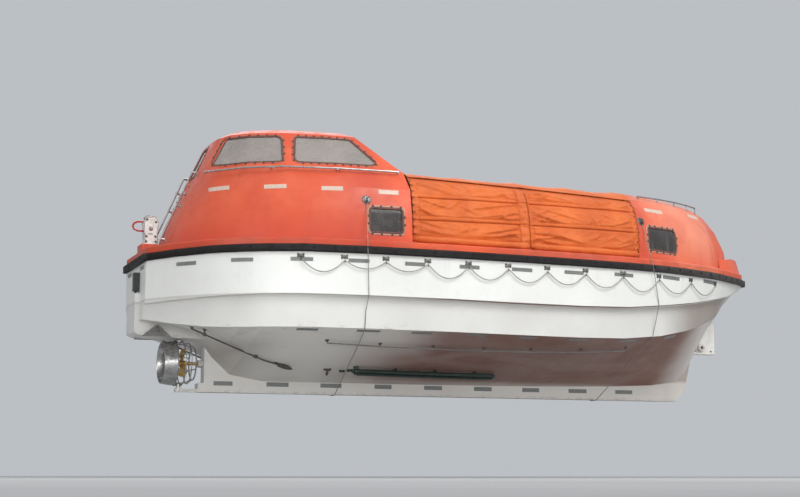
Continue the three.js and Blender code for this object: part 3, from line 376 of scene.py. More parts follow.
def hull_white():
    k = Mat("hull_white", Coat_Weight=0.18, Coat_Roughness=0.22)
    x, z, nz = k.axis(0), k.axis(2), k.normal(2)
    base = k.mix(k.fit(k.noise(0.8, 4), 0.3, 0.7), (0.83, 0.845, 0.815), (0.77, 0.78, 0.75))
    base = k.mix(k.math("MULTIPLY", k.fit(k.noise(7, 5, 0.65), 0.52, 0.75), 0.22), base, (0.64, 0.63, 0.59))
    # a little greyer towards the stern: painted shade, where the light falls off aft
    base = k.mix(k.fit(x, -2.6, -4.6, 0.0, 0.30), base, (0.60, 0.585, 0.555))
    # grey runs down the topsides from the strake
    runs = k.fit(k.noise(5.5, 4, 0.6, (1.0, 1.0, 0.07)), 0.50, 0.74)
    base = k.mix(k.math("MULTIPLY", k.math("MULTIPLY", runs, k.fit(z, 0.35, 1.0)), 0.22), base, (0.52, 0.50, 0.46))
    # below the knuckle: painted shade, greyer than the topsides above it; the knuckle rises towards the bow
    ahead = k.math("MAXIMUM", k.math("SUBTRACT", x, 1.0), 0.0)
    knuckle = k.math("ADD", k.math("MULTIPLY", k.math("MULTIPLY", ahead, ahead), 0.040), 0.452)
    low = k.fit(k.math("SUBTRACT", z, knuckle), 0.004, -0.012)
    base = k.mix(k.math("MULTIPLY", low, k.fit(k.noise(1.7, 4), 0.3, 0.7, 0.42, 0.62)), base, (0.60, 0.585, 0.56))
    # painted shade with brownish staining on the bow's flare under the knuckle, which faces down and forward
    base = k.mix(k.math("MULTIPLY", low, k.fit(x, 2.4, 3.4, 0.0, 0.80)), base, (0.27, 0.215, 0.185))
    # soft shade under the knuckle's overhang
    lip = k.math("MULTIPLY", low, k.fit(k.math("SUBTRACT", z, knuckle), -0.060, -0.008))
    base = k.mix(k.math("MULTIPLY", lip, 0.42), base, (0.36, 0.345, 0.325))
    # what faces down: weathered grey aft, brown and pink stains from amidships to the bow, with painted shade darkening
    # them on the underside
    under = k.fit(nz, -0.30, -0.62)
    base = k.mix(k.math("MULTIPLY", under, 0.85), base, (0.76, 0.735, 0.69))
    stain = k.fit(k.noise(0.8, 5, 0.6, (0.8, 1.6, 2.4), 0.5), 0.30, 0.62)
    fwd = k.fit(x, -2.55, -0.9)
    # low down at first, further forward the stain reaches up to the chine; the stem itself is clean
    low_down = k.math("MAXIMUM", k.fit(z, 0.02, -0.34, 0.34, 1.0), k.fit(x, -2.3, -0.7, 0.0, 1.0))
    reach = k.math("MULTIPLY", k.math("MULTIPLY", fwd, k.fit(x, 3.72, 2.95)), low_down)
    stain_and_shade = k.math("MULTIPLY", k.fit(nz, -0.18, -0.48), k.math("MULTIPLY", reach, k.math("ADD", k.math("MULTIPLY", stain, 0.12), 0.85)))
    stain_and_shade = k.math("MULTIPLY", stain_and_shade, k.fit(z, -0.540, -0.480, 0.55, 1.0))
    base = k.mix(stain_and_shade, base, (0.185, 0.068, 0.043))
    # the run aft, in towards the skeg
    run = k.math("MULTIPLY", under, k.math("MULTIPLY", k.fit(x, -2.9, -3.7), k.fit(z, 0.05, -0.22)))
    base = k.mix(k.math("MULTIPLY", run, 0.62), base, (0.22, 0.185, 0.16))
    streak = k.fit(k.noise(3.2, 6, 0.7, (0.30, 1.2, 1.2), 0.8), 0.52, 0.76)
    base = k.mix(k.math("MULTIPLY", k.math("MULTIPLY", streak, under), 0.16), base, (0.25, 0.20, 0.165))
    # scuffs along the turn of the chine
    scuff = k.math("MULTIPLY", k.fit(k.noise(16, 6, 0.7, (0.3, 1, 1)), 0.55, 0.70), k.math("MULTIPLY", k.fit(z, 0.16, 0.03), k.fit(z, -0.10, 0.03)))
    base = k.mix(k.math("MULTIPLY", scuff, k.fit(x, -1.8, -0.6, 0.5, 0.12)), base, (0.38, 0.34, 0.30))
    # keel's sides: paler grey, black at the foot
    keel = k.math("MULTIPLY", k.fit(z, -0.40, -0.46), k.fit(nz, -0.5, -0.2))
    base = k.mix(k.math("MULTIPLY", keel, k.fit(k.noise(2.2, 5), 0.3, 0.7, 0.55, 0.8)), base, (0.66, 0.63, 0.595))
    foot = k.math("MULTIPLY", k.fit(z, -0.67, -0.72), k.fit(k.noise(11, 6, 0.7), 0.42, 0.66))
    base = k.mix(k.math("MULTIPLY", foot, 0.38), base, (0.16, 0.14, 0.125))
    k.bump(k.noise(1.3, 2), 0.10, 0.02)
    k.bump(k.noise(60, 4, 0.6), 0.06, 0.002)
    rough = k.math("ADD", k.fit(k.noise(4, 4), 0.3, 0.7, 0.30, 0.46), k.math("MULTIPLY", under, 0.2))
    return k.done(base, rough)


def orange_moulding(name="orange_moulding"):
    k = Mat(name, Coat_Weight=0.10, Coat_Roughness=0.28, Specular_IOR_Level=0.42)
    x, z = k.axis(0), k.axis(2)
    a, b = (0.69, 0.095, 0.032), (0.58, 0.068, 0.024)
    base = k.mix(k.fit(k.noise(0.9, 4, 0.6), 0.35, 0.68), a, b)
    # chalky fading with painted sky sheen, stronger on what faces up and on the bow end
    nose = k.fit(x, 3.98, 3.62)
    fade = k.math("MULTIPLY", k.fit(k.normal(2), -0.1, 0.9, 0.30, 0.85), k.fit(x, -2.0, 3.0, 0.45, 1.0))
    fade = k.math("MULTIPLY", fade, k.fit(nose, 0.0, 1.0, 0.35, 1.0))
    chalk_and_sheen = k.math("MULTIPLY", k.fit(k.noise(2.6, 5, 0.65), 0.38, 0.72), fade)
    base = k.mix(chalk_and_sheen, base, (0.80, 0.215, 0.108))
    # painted sky sheen with chalky fading: the fore canopy lighter, more so higher up
    base = k.mix(k.math("MULTIPLY", k.math("MULTIPLY", k.fit(x, 1.9, 3.0), nose), k.fit(z, 1.20, 1.7, 0.35, 0.75)), base, (0.86, 0.30, 0.185))
    # deeper along the foot of the cabin and round the edge of its roof
    base = k.mix(k.math("MULTIPLY", k.fit(x, 1.0, -1.0), k.fit(z, 1.75, 1.22, 0.0, 0.55)), base, (0.49, 0.036, 0.010))
    base = k.mix(k.math("MULTIPLY", k.fit(z, 2.45, 2.66), 0.40), base, (0.62, 0.058, 0.020))
    # fresher next to the covers
    base = k.mix(k.math("MULTIPLY", k.math("MULTIPLY", k.fit(x, -2.0, -1.5), k.fit(x, 0.0, -0.8)), 0.7), base, (0.86, 0.125, 0.036))
    # darker where the side has been rubbed and cleaned
    rub = k.fit(k.noise(1.1, 3, 0.5, (0.7, 1, 1.6), 0.3), 0.46, 0.62)
    base = k.mix(k.math("MULTIPLY", rub, 0.30), base, (0.58, 0.070, 0.032))
    runs = k.fit(k.noise(6, 5, 0.6, (1, 1, 0.06)), 0.52, 0.74)
    base = k.mix(k.math("MULTIPLY", runs, 0.22), base, (0.46, 0.065, 0.032))
    grime = k.math("MULTIPLY", k.fit(k.noise(18, 6, 0.7), 0.56, 0.72), 0.20)
    base = k.mix(grime, base, (0.36, 0.085, 0.05))
    # dirty along the foot of the mouldings
    foot = k.math("MULTIPLY", k.fit(z, 1.28, 1.16), k.fit(k.noise(9, 5, 0.7, (0.4, 0.4, 1)), 0.40, 0.66))
    base = k.mix(k.math("MULTIPLY", foot, 0.35), base, (0.30, 0.065, 0.038))
    k.rounded(0.012, 6)
    k.bump(k.noise(1.6, 2), 0.09, 0.02)
    k.bump(k.noise(90, 3, 0.6), 0.05, 0.0015)
    return k.done(base, k.fit(k.noise(5, 4), 0.3, 0.7, 0.36, 0.56))


def canvas_cloth():
    k = Mat("canvas", Sheen_Weight=0.08, Sheen_Roughness=0.5, Specular_IOR_Level=0.35)
    base = k.mix(k.fit(k.noise(1.6, 5, 0.65), 0.34, 0.68), (0.685, 0.148, 0.025), (0.555, 0.103, 0.016))
    fade = k.math("MULTIPLY", k.fit(k.noise(5, 6, 0.7, (1, 1, 0.5)), 0.50, 0.78), 0.35)
    base = k.mix(fade, base, (0.72, 0.205, 0.060))
    dirt = k.math("MULTIPLY", k.fit(k.noise(13, 6, 0.75, (0.5, 1, 1)), 0.56, 0.76), 0.30)
    base = k.mix(dirt, base, (0.40, 0.10, 0.035))
    w = k.math("MULTIPLY", k.wave(260, "X"), k.wave(260, "Z"))
    k.bump(w, 0.10, 0.0006)
    k.bump(k.noise(26, 5, 0.65, (1, 1, 1.6)), 0.22, 0.006)
    return k.done(base, k.fit(k.noise(9, 4), 0.3, 0.7, 0.52, 0.72))


def black_rubber():
    k = Mat("black_rubber", Specular_IOR_Level=0.28)
    base = k.mix(k.fit(k.noise(5, 5, 0.65), 0.35, 0.7), (0.008, 0.0064, 0.0067), (0.014, 0.0115, 0.012))
    base = k.mix(k.math("MULTIPLY", k.fit(k.axis(0), 0.8, 3.6), k.fit(k.noise(7, 5, 0.6, (0.4, 1, 1)), 0.25, 0.7, 0.5, 0.95)), base, (0.060, 0.054, 0.053))
    scuff = k.math("MULTIPLY", k.fit(k.noise(20, 6, 0.75, (0.35, 1, 1.6)), 0.60, 0.72), 0.2)
    base = k.mix(scuff, base, (0.10, 0.092, 0.088))
    base = k.mix(k.math("MULTIPLY", k.edge(0.01), 0.25), base, (0.08, 0.074, 0.072))
    k.rounded(0.014, 6)
    k.bump(k.noise(70, 4, 0.6), 0.15, 0.0015)
    return k.done(base, k.fit(k.noise(8, 4), 0.3, 0.7, 0.52, 0.74))


def steel(name, a, b, r0, r1, stain=(0.32, 0.20, 0.12), stain_w=0.2, scale=14):
    k = Mat(name, metallic=1.0)
    base = k.mix(k.fit(k.noise(scale, 5, 0.6), 0.3, 0.7), a, b)
    spot = k.math("MULTIPLY", k.fit(k.noise(scale * 2.2, 6, 0.75), 0.60, 0.74), stain_w)
    base = k.mix(spot, base, stain)
    k.bump(k.noise(scale * 9, 3), 0.08, 0.0008)
    return k.done(base, k.fit(k.noise(scale * 0.8, 4), 0.3, 0.7, r0, r1))


def galvanised():
    k = Mat("galvanised", metallic=0.6)
    cell = k.voronoi(30)
    base = k.mix(k.fit(cell, 0.1, 0.7), (0.38, 0.375, 0.37), (0.25, 0.245, 0.24))
    base = k.mix(k.math("MULTIPLY", k.fit(k.noise(9, 6, 0.7), 0.50, 0.70), 0.5), base, (0.50, 0.485, 0.455))
    base = k.mix(k.math("MULTIPLY", k.fit(k.noise(26, 6, 0.75), 0.60, 0.72), 0.55), base, (0.22, 0.13, 0.075))
    k.bump(k.noise(50, 5, 0.65), 0.25, 0.002)
    return k.done(base, k.fit(k.noise(12, 4), 0.3, 0.7, 0.32, 0.58))


def paint(name, a, b, rough=(0.28, 0.5), chip=(0.20, 0.10, 0.06), chips=0.6, scale=9, coat=0.2, edge_r=0.005):
    k = Mat(name, Coat_Weight=coat)
    base = k.mix(k.fit(k.noise(scale, 5, 0.6), 0.34, 0.7), a, b)
    wear = k.math("MULTIPLY", k.edge(edge_r), k.fit(k.noise(scale * 7, 5, 0.7), 0.42, 0.62))
    base = k.mix(k.math("MULTIPLY", wear, chips), base, chip)
    spot = k.math("MULTIPLY", k.fit(k.noise(scale * 3.4, 6, 0.75), 0.64, 0.75), chips * 0.6)
    base = k.mix(spot, base, chip)
    k.rounded(edge_r, 4)
    k.bump(k.noise(scale * 8, 4), 0.12, 0.0015)
    return k.done(base, k.fit(k.noise(scale * 0.9, 4), 0.3, 0.7, *rough))


def bronze():
    k = Mat("bronze", metallic=0.9)
    base = k.mix(k.fit(k.noise(14, 5, 0.6), 0.34, 0.68), (0.62, 0.40, 0.13), (0.40, 0.24, 0.075))
    base = k.mix(k.math("MULTIPLY", k.fit(k.noise(24, 6, 0.7), 0.54, 0.74), 0.4), base, (0.12, 0.10, 0.05))
    k.bump(k.noise(80, 4), 0.15, 0.001)
    return k.done(base, k.fit(k.noise(10, 4), 0.3, 0.7, 0.24, 0.46))


def cabin_pane():
    # sun-hazed acrylic: milky grey, hardly clear
    k = Mat("window_clear", Transmission_Weight=0.20, IOR=1.45, Coat_Weight=0.30, Coat_Roughness=0.08)
    base = k.mix(k.fit(k.noise(1.4, 4, 0.6), 0.32, 0.7), (0.375, 0.325, 0.30), (0.30, 0.272, 0.248))
    base = k.mix(k.math("MULTIPLY", k.fit(k.noise(5, 5, 0.7, (0.5, 1, 2.0), 1.2), 0.50, 0.74), 0.4), base, (0.50, 0.48, 0.44))
    base = k.mix(k.math("MULTIPLY", k.fit(k.noise(30, 6, 0.75), 0.60, 0.75), 0.3), base, (0.24, 0.22, 0.20))
    k.bump(k.noise(2.2, 2), 0.10, 0.01)
    return k.done(base, k.fit(k.noise(6, 4), 0.3, 0.7, 0.20, 0.42))


def dark_pane():
    k = Mat("window_dark", Transmission_Weight=0.10, IOR=1.42, Coat_Weight=0.10, Coat_Roughness=0.15)
    base = k.mix(k.fit(k.noise(3, 4, 0.6), 0.32, 0.7), (0.042, 0.038, 0.037), (0.064, 0.059, 0.056))
    # painted reflection: lighter streaks running up the dark glass
    base = k.mix(k.math("MULTIPLY", k.fit(k.noise(7, 5, 0.7, (1.6, 1, 0.3), 0.6), 0.52, 0.74), 0.5), base, (0.19, 0.18, 0.17))
    k.bump(k.noise(3, 2), 0.10, 0.008)
    return k.done(base, k.fit(k.noise(6, 4), 0.3, 0.7, 0.16, 0.34))


def plastic(name, a, b, rough=(0.35, 0.6), scale=12):
    k = Mat(name)
    base = k.mix(k.fit(k.noise(scale, 5, 0.6), 0.34, 0.7), a, b)
    k.rounded(0.004, 4)
    k.bump(k.noise(scale * 10, 4), 0.12, 0.001)
    return k.done(base, k.fit(k.noise(scale, 4), 0.3, 0.7, *rough))


def rope():
    k = Mat("rope")
    base = k.mix(k.fit(k.noise(9, 4, 0.6), 0.34, 0.7), (0.46, 0.45, 0.42), (0.32, 0.31, 0.29))
    w = k.wave(95, "DIAGONAL", 1.5)
    base = k.mix(k.math("MULTIPLY", w, 0.35), base, (0.16, 0.15, 0.14))
    k.bump(w, 0.5, 0.0016)
    return k.done(base, k.fit(k.noise(30, 3), 0.3, 0.7, 0.7, 0.92))


def tape(name, a, b):
    k = Mat(name, Coat_Weight=0.2, Coat_Roughness=0.3)
    cell = k.voronoi(130)
    base = k.mix(k.fit(cell, 0.15, 0.6), a, b)
    base = k.mix(k.math("MULTIPLY", k.fit(k.noise(22, 6, 0.7), 0.52, 0.70), 0.45), base, tuple(c * 0.55 for c in b))
    k.bump(cell, 0.2, 0.0006)
    return k.done(base, k.fit(k.noise(14, 4), 0.3, 0.7, 0.34, 0.55))


def floor_mat():
    k = Mat("studio_floor", Specular_IOR_Level=0.0)
    base = k.mix(k.fit(k.noise(0.35, 4), 0.3, 0.7), (0.41, 0.415, 0.42), (0.385, 0.39, 0.395))
    k.bump(k.noise(3, 4), 0.05, 0.01)
    return k.done(base, k.fit(k.noise(0.8, 3), 0.3, 0.7, 0.65, 0.8))


floor.data.materials.append(floor_mat())
M = {
    "hull_white": hull_white(),
    "orange_moulding": orange_moulding(),
    "canvas": canvas_cloth(),
    "black_rubber": black_rubber(),
    "stainless": steel("stainless", (0.52, 0.52, 0.515), (0.36, 0.355, 0.35), 0.22, 0.42),
    "galvanised": galvanised(),
    "white_paint": paint("white_paint", (0.74, 0.73, 0.70), (0.62, 0.60, 0.57), chips=0.75),
    "red_paint": paint("red_paint", (0.50, 0.015, 0.018), (0.38, 0.012, 0.016), chip=(0.30, 0.12, 0.08)),
    "green_paint": paint("green_paint", (0.010, 0.026, 0.021), (0.020, 0.044, 0.035), chip=(0.11, 0.12, 0.10), edge_r=0.004),
    "grey_paint": paint("grey_paint", (0.24, 0.235, 0.225), (0.17, 0.165, 0.16), chip=(0.22, 0.12, 0.07), rough=(0.45, 0.7), coat=0.0),
    "bronze": bronze(),
    "window_clear": cabin_pane(),
    "window_dark": dark_pane(),
    "black_plastic": plastic("black_plastic", (0.022, 0.022, 0.024), (0.040, 0.040, 0.042)),
    "bench_white": plastic("bench_white", (0.66, 0.65, 0.61), (0.56, 0.55, 0.52), scale=5),
    "rope": rope(),
}
M_TAPE_ORANGE = tape("tape_beige", (0.74, 0.60, 0.50), (0.60, 0.46, 0.37))
M_TAPE_WHITE = tape("tape_grey", (0.235, 0.248, 0.236), (0.155, 0.168, 0.160))
M_BOLT = plastic("bolt_heads", (0.060, 0.040, 0.034), (0.115, 0.070, 0.055), (0.45, 0.7), 60)
M_SEAL = plastic("seal_rubber", (0.085, 0.040, 0.032), (0.19, 0.075, 0.055), (0.55, 0.8), 22)
M_CAP = plastic("strake_bolt_heads", (0.0025, 0.0025, 0.0025), (0.005, 0.005, 0.005), (0.75, 0.95), 40)
M_RING = steel("ring_steel", (0.21, 0.205, 0.20), (0.13, 0.125, 0.12), 0.35, 0.55)
M_ROD = paint("rod_paint", (0.105, 0.095, 0.088), (0.060, 0.054, 0.050), chip=(0.16, 0.09, 0.06), rough=(0.5, 0.75), coat=0.0)
M_STEP = paint("pad_grey", (0.30, 0.295, 0.285), (0.22, 0.215, 0.205), rough=(0.5, 0.75), coat=0.0)
M_LINE = plastic("thin_line", (0.33, 0.30, 0.28), (0.20, 0.18, 0.17), (0.6, 0.85), 30)
M_STRAP = plastic("webbing", (0.50, 0.12, 0.045), (0.40, 0.085, 0.032), (0.7, 0.9), 30)


# ------------------------------------------------------------------ the CAD nodes' finish
def smooth_group():
    g = bpy.data.node_groups.new("smooth_by_angle", "GeometryNodeTree")
    g.interface.new_socket("Geometry", in_out="INPUT", socket_type="NodeSocketGeometry")
    g.interface.new_socket("Angle", in_out="INPUT", socket_type="NodeSocketFloat")
    g.interface.new_socket("Geometry", in_out="OUTPUT", socket_type="NodeSocketGeometry")
    i, o = g.nodes.new("NodeGroupInput"), g.nodes.new("NodeGroupOutput")
    weld = g.nodes.new("GeometryNodeMergeByDistance")
    weld.inputs["Distance"].default_value = 0.00005
    faces = g.nodes.new("GeometryNodeSetShadeSmooth")
    faces.domain = "FACE"
    edges = g.nodes.new("GeometryNodeSetShadeSmooth")
    edges.domain = "EDGE"
    edges.inputs["Shade Smooth"].default_value = False
    ang = g.nodes.new("GeometryNodeInputMeshEdgeAngle")
    cmp = g.nodes.new("FunctionNodeCompare")
    cmp.data_type = "FLOAT"
    cmp.operation = "GREATER_THAN"
    L = g.links.new
    L(i.outputs[0], weld.inputs[0])
    L(weld.outputs[0], faces.inputs[0])
    L(faces.outputs[0], edges.inputs[0])
    L(ang.outputs["Unsigned Angle"], cmp.inputs["A"])
    L(i.outputs["Angle"], cmp.inputs["B"])
    L(cmp.outputs[0], edges.inputs["Selection"])
    L(edges.outputs[0], o.inputs[0])
    return g


SMOOTH = smooth_group()


def smooth(o, degrees):
    m = o.modifiers.new("smooth", "NODES")
    m.node_group = SMOOTH
    for item in SMOOTH.interface.items_tree:
        if item.name == "Angle":
            m[item.identifier] = math.radians(degrees)


SLOT_OF = {p["node"]: p["material_slot"] for p in frame["record"]["subparts"]}
ANGLE = {"hull": 17, "aft_canopy": 24, "fore_canopy": 24, "deck_moulding": 25, "fender": 40}
for n, o in NODES.items():
    slot = SLOT_OF.get(n, "white_paint")
    o.data.materials.clear()
    o.data.materials.append(M[slot])
    smooth(o, ANGLE.get(n, 32))

for side, (o, start, length) in LINES.items():
    o.data.materials.append(M["rope"])


# ------------------------------------------------------------------ helpers for the pieces made here
def tree_of(*names):
    verts, faces = [], []
    for n in names:
        me = NODES[n].data
        base = len(verts)
        verts += [v.co.copy() for v in me.vertices]
        faces += [tuple(i + base for i in p.vertices) for p in me.polygons]
    return BVHTree.FromPolygons(verts, faces)


TREES = {}


def cast(names, origin, direction):
    names = (names,) if isinstance(names, str) else tuple(names)
    if names not in TREES:
        TREES[names] = tree_of(*names)
    loc, nor, _, _ = TREES[names].ray_cast(Vector(origin), Vector(direction).normalized())
    if loc is None:
        return None, None
    nor = nor.normalized()
    if nor.dot(Vector(direction)) > 0:
        nor = -nor
    return loc, nor


def frame_of(n, along=None):
    n = Vector(n).normalized()
    a = Vector(along) if along is not None else (Vector((0, 0, 1)) if abs(n.z) < 0.9 else Vector((1, 0, 0)))
    t = (a - n * a.dot(n)).normalized()
    return t, n.cross(t), n


class Piece:
    """Collects closed bodies and strips into one mesh object."""

    def __init__(self, name, mat, body="boat", slot=None):
        self.name, self.mat, self.body, self.slot = name, mat, body, slot
        self.v, self.f = [], []

    def add(self, verts, faces):
        b = len(self.v)
        self.v += [Vector(p) for p in verts]
        self.f += [tuple(i + b for i in f) for f in faces]

    def lathe(self, p, n, profile, sides=12, along=None):
        """profile: (radius, height) pairs from the base up; closed at both ends"""
        t, b, n = frame_of(n, along)
        p = Vector(p)
        verts, faces = [], []
        for r, h in profile:
            for k in range(sides):
                a = 2 * math.pi * k / sides
                verts.append(p + n * h + (t * math.cos(a) + b * math.sin(a)) * r)
        m = len(profile)
        for j in range(m - 1):
            for k in range(sides):
                q = (k + 1) % sides
                faces.append((j * sides + k, j * sides + q, (j + 1) * sides + q, (j + 1) * sides + k))
        faces.append(tuple(range(sides - 1, -1, -1)))
        faces.append(tuple((m - 1) * sides + k for k in range(sides)))
        self.add(verts, faces)

    def bolt(self, p, n, r, h, along=None):
        """washer and domed head"""
        self.lathe(p, n, [(r * 1.55, -0.002), (r * 1.55, h * 0.25), (r * 1.0, h * 0.3), (r * 0.95, h * 0.8), (r * 0.55, h)], 8, along)

    def ring(self, p, n, big, small, sides=18, tube=7, arc=(0, 2 * math.pi), along=None):
        t, b, n = frame_of(n, along)
        p = Vector(p)
        whole = abs(arc[1] - arc[0] - 2 * math.pi) < 1e-6
        cnt = sides if whole else sides + 1
        verts, faces = [], []
        for k in range(cnt):
            a = arc[0] + (arc[1] - arc[0]) * k / sides
            d = t * math.cos(a) + b * math.sin(a)
            for j in range(tube):
                q = 2 * math.pi * j / tube
                verts.append(p + d * (big + small * math.cos(q)) + n * small * math.sin(q))
        for k in range(sides):
            k2 = (k + 1) % cnt
            for j in range(tube):
                j2 = (j + 1) % tube
                faces.append((k * tube + j, k2 * tube + j, k2 * tube + j2, k * tube + j2))
        if not whole:
            faces.append(tuple(range(tube)))
            faces.append(tuple((cnt - 1) * tube + j for j in range(tube - 1, -1, -1)))
        self.add(verts, faces)

    def tube(self, pts, r, sides=8, radii=None, squash=1.0, up=(0, 0, 1)):
        pts = [Vector(p) for p in pts]
        verts, faces = [], []
        for i, p in enumerate(pts):
            d = (pts[min(i + 1, len(pts) - 1)] - pts[max(i - 1, 0)]).normalized()
            u = Vector(up)
            if abs(d.dot(u)) > 0.97:
                u = Vector((0, 1, 0)) if abs(d.y) < 0.9 else Vector((1, 0, 0))
            a = (u - d * u.dot(d)).normalized()
            b = d.cross(a)
            rr = radii[i] if radii else r
            for k in range(sides):
                q = 2 * math.pi * k / sides
                verts.append(p + a * math.cos(q) * rr + b * math.sin(q) * rr * squash)
        for i in range(len(pts) - 1):
            for k in range(sides):
                q = (k + 1) % sides
                faces.append((i * sides + k, i * sides + q, (i + 1) * sides + q, (i + 1) * sides + k))
        faces.append(tuple(range(sides - 1, -1, -1)))
        faces.append(tuple((len(pts) - 1) * sides + k for k in range(sides)))
        self.add(verts, faces)

    def slab(self, rows, t, lift=0.0):
        """a thin plate over a grid of (point, normal) rows, t thick"""
        n, m = len(rows), len(rows[0])
        verts = [p + q * (lift + t) for r in rows for p, q in r] + [p + q * (lift - 0.0006) for r in rows for p, q in r]
        faces = []
        o = n * m
        for i in range(n - 1):
            for j in range(m - 1):
                a, b, c, d = i * m + j, i * m + j + 1, (i + 1) * m + j + 1, (i + 1) * m + j
                faces.append((a, b, c, d))
                faces.append((o + d, o + c, o + b, o + a))
        for i in range(n - 1):
            faces.append((i * m, (i + 1) * m, o + (i + 1) * m, o + i * m))
            faces.append(((i + 1) * m - 1 + m, (i + 1) * m - 1, o + (i + 1) * m - 1, o + (i + 1) * m - 1 + m))
        for j in range(m - 1):
            faces.append((j + 1, j, o + j, o + j + 1))
            faces.append(((n - 1) * m + j, (n - 1) * m + j + 1, o + (n - 1) * m + j + 1, o + (n - 1) * m + j))
        self.add(verts, faces)

    def box(self, centre, size, axes=None, bevel=0.0):
        x, y, z = axes or (Vector((1, 0, 0)), Vector((0, 1, 0)), Vector((0, 0, 1)))
        c = Vector(centre)
        hx, hy, hz = (s / 2 for s in size)
        e = min(bevel, hx * 0.9, hy * 0.9)
        ring = [(-hx + e, -hy), (hx - e, -hy), (hx, -hy + e), (hx, hy - e), (hx - e, hy), (-hx + e, hy), (-hx, hy - e), (-hx, -hy + e)] if e else [(-hx, -hy), (hx, -hy), (hx, hy), (-hx, hy)]
        n = len(ring)
        if e:
            layers = [(-hz, 1.0), (hz - e * 0.6, 1.0), (hz, 1 - e * 0.8 / max(hx, hy))]
        else:
            layers = [(-hz, 1.0), (hz, 1.0)]
        verts = [c + x * a * s + y * b * s + z * h for h, s in layers for a, b in ring]
        faces = [tuple(range(n - 1, -1, -1)), tuple(n * (len(layers) - 1) + k for k in range(n))]
        for j in range(len(layers) - 1):
            for k in range(n):
                q = (k + 1) % n
                faces.append((j * n + k, j * n + q, (j + 1) * n + q, (j + 1) * n + k))
        self.add(verts, faces)

    def done(self, angle=35):
        me = bpy.data.meshes.new(self.name)
        me.from_pydata([tuple(v) for v in self.v], [], self.f)
        me.validate()
        me.update()
        o = link(bpy.data.objects.new(self.name, me))
        me.materials.append(self.mat)
        smooth(o, angle)
        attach(o, self.body)
        return o


SIDES = (("stbd", -1), ("port", 1))
AHEAD = Vector((1, 0, 0))


def from_side(names, x, z, s, far=3.0):
    """surface point and outward normal met coming in along Y at x, z"""
    return cast(names, (x, s * far, z), (0, -s, 0))


def from_below(names, x, y, low=-2.0):
    return cast(names, (x, y, low), (0, 0, 1))


# ------------------------------------------------------------------ reflective tape
TAPE_TOPSIDE = [
    (-4.433, -4.229, 0.860), (-3.854, -3.605, 0.871), (-3.161, -2.880, 0.882), (-2.420, -2.142, 0.885),
    (-1.653, -1.374, 0.878), (-0.887, -0.596, 0.877), (-0.116, 0.194, 0.884), (0.703, 1.009, 0.895),
    (1.532, 1.859, 0.918), (2.431, 2.790, 0.950), (3.360, 3.691, 0.984),
]
TAPE_AFT = [(-3.971, -3.765, 1.903), (-3.388, -3.131, 1.876), (-2.694, -2.423, 1.856), (-1.944, -1.668, 1.841)]
TAPE_FORE = [(2.281, 2.648, 1.938), (3.349, 3.640, 2.010)]
TAPE_CHINE = [(-3.017, -2.739), (-2.231, -1.913), (-1.474, -1.189), (-0.687, -0.414), (0.092, 0.377), (0.889, 1.205), (1.735, 2.064), (2.632, 2.887)]
TAPE_KEEL = [
    (-3.665, -3.400), (-2.921, -2.607), (-2.145, -1.838), (-1.348, -1.094), (-0.599, -0.324),
    (0.173, 0.449), (0.937, 1.210), (1.689, 1.985), (2.464, 2.749),
]


def side_strip(piece, names, x0, x1, z, s, high, n=6, rows=5, t=0.0026):
    n = max(n, round(abs(x1 - x0) / 0.020))
    grid = []
    for j in range(rows):
        zz = z + high * (j / (rows - 1) - 0.5)
        row = []
        for i in range(n + 1):
            p, q = from_side(names, x0 + (x1 - x0) * i / n, zz, s)
            if p is None:
                return
            row.append((p, q))
        grid.append(row)
    piece.slab(grid, t)


for side, s in SIDES:
    white = Piece(f"tape_hull_{side}", M_TAPE_WHITE)
    for x0, x1, z in TAPE_TOPSIDE:
        side_strip(white, "hull", x0, x1, z, s, 0.050)
    for x0, x1 in TAPE_KEEL:
        side_strip(white, "hull", x0, x1, -0.598, s, 0.058, 3)
    for x0, x1 in TAPE_CHINE:
        grid = []
        for j in range(3):
            row = []
            for i in range(15):
                x = x0 + (x1 - x0) * i / 14
                chine = lerp_table([(-4100, 1350), (-3900, 1510), (-3700, 1645), (-3450, 1765), (-3000, 1900), (-2200, 1970), (-1000, 1965), (0, 1915), (1000, 1800), (1800, 1650), (2500, 1420), (3100, 1120)], x * 1000) / 1000
                p, q = from_below("hull", x, s * (chine - 0.045 - 0.030 * j))
                row.append((p, q))
            grid.append(row)
        white.slab(grid, 0.0022)
    # one on each quarter of the transom
    grid = [[(lambda h: (h[0], h[1]))(cast("hull", (-6, s * (0.30 + 0.26 * i / 3), 0.86 + 0.05 * j / 2), (1, 0, 0))) for i in range(4)] for j in range(3)]
    if all(p is not None for r in grid for p, q in r):
        white.slab(grid, 0.0012)
    white.done(30)
    beige = Piece(f"tape_canopy_{side}", M_TAPE_ORANGE)
    for x0, x1, z in TAPE_AFT:
        side_strip(beige, "aft_canopy", x0, x1, z, s, 0.058)
    for x0, x1, z in TAPE_FORE:
        side_strip(beige, "fore_canopy", x0, x1, z, s, 0.058)
    beige.done(30)

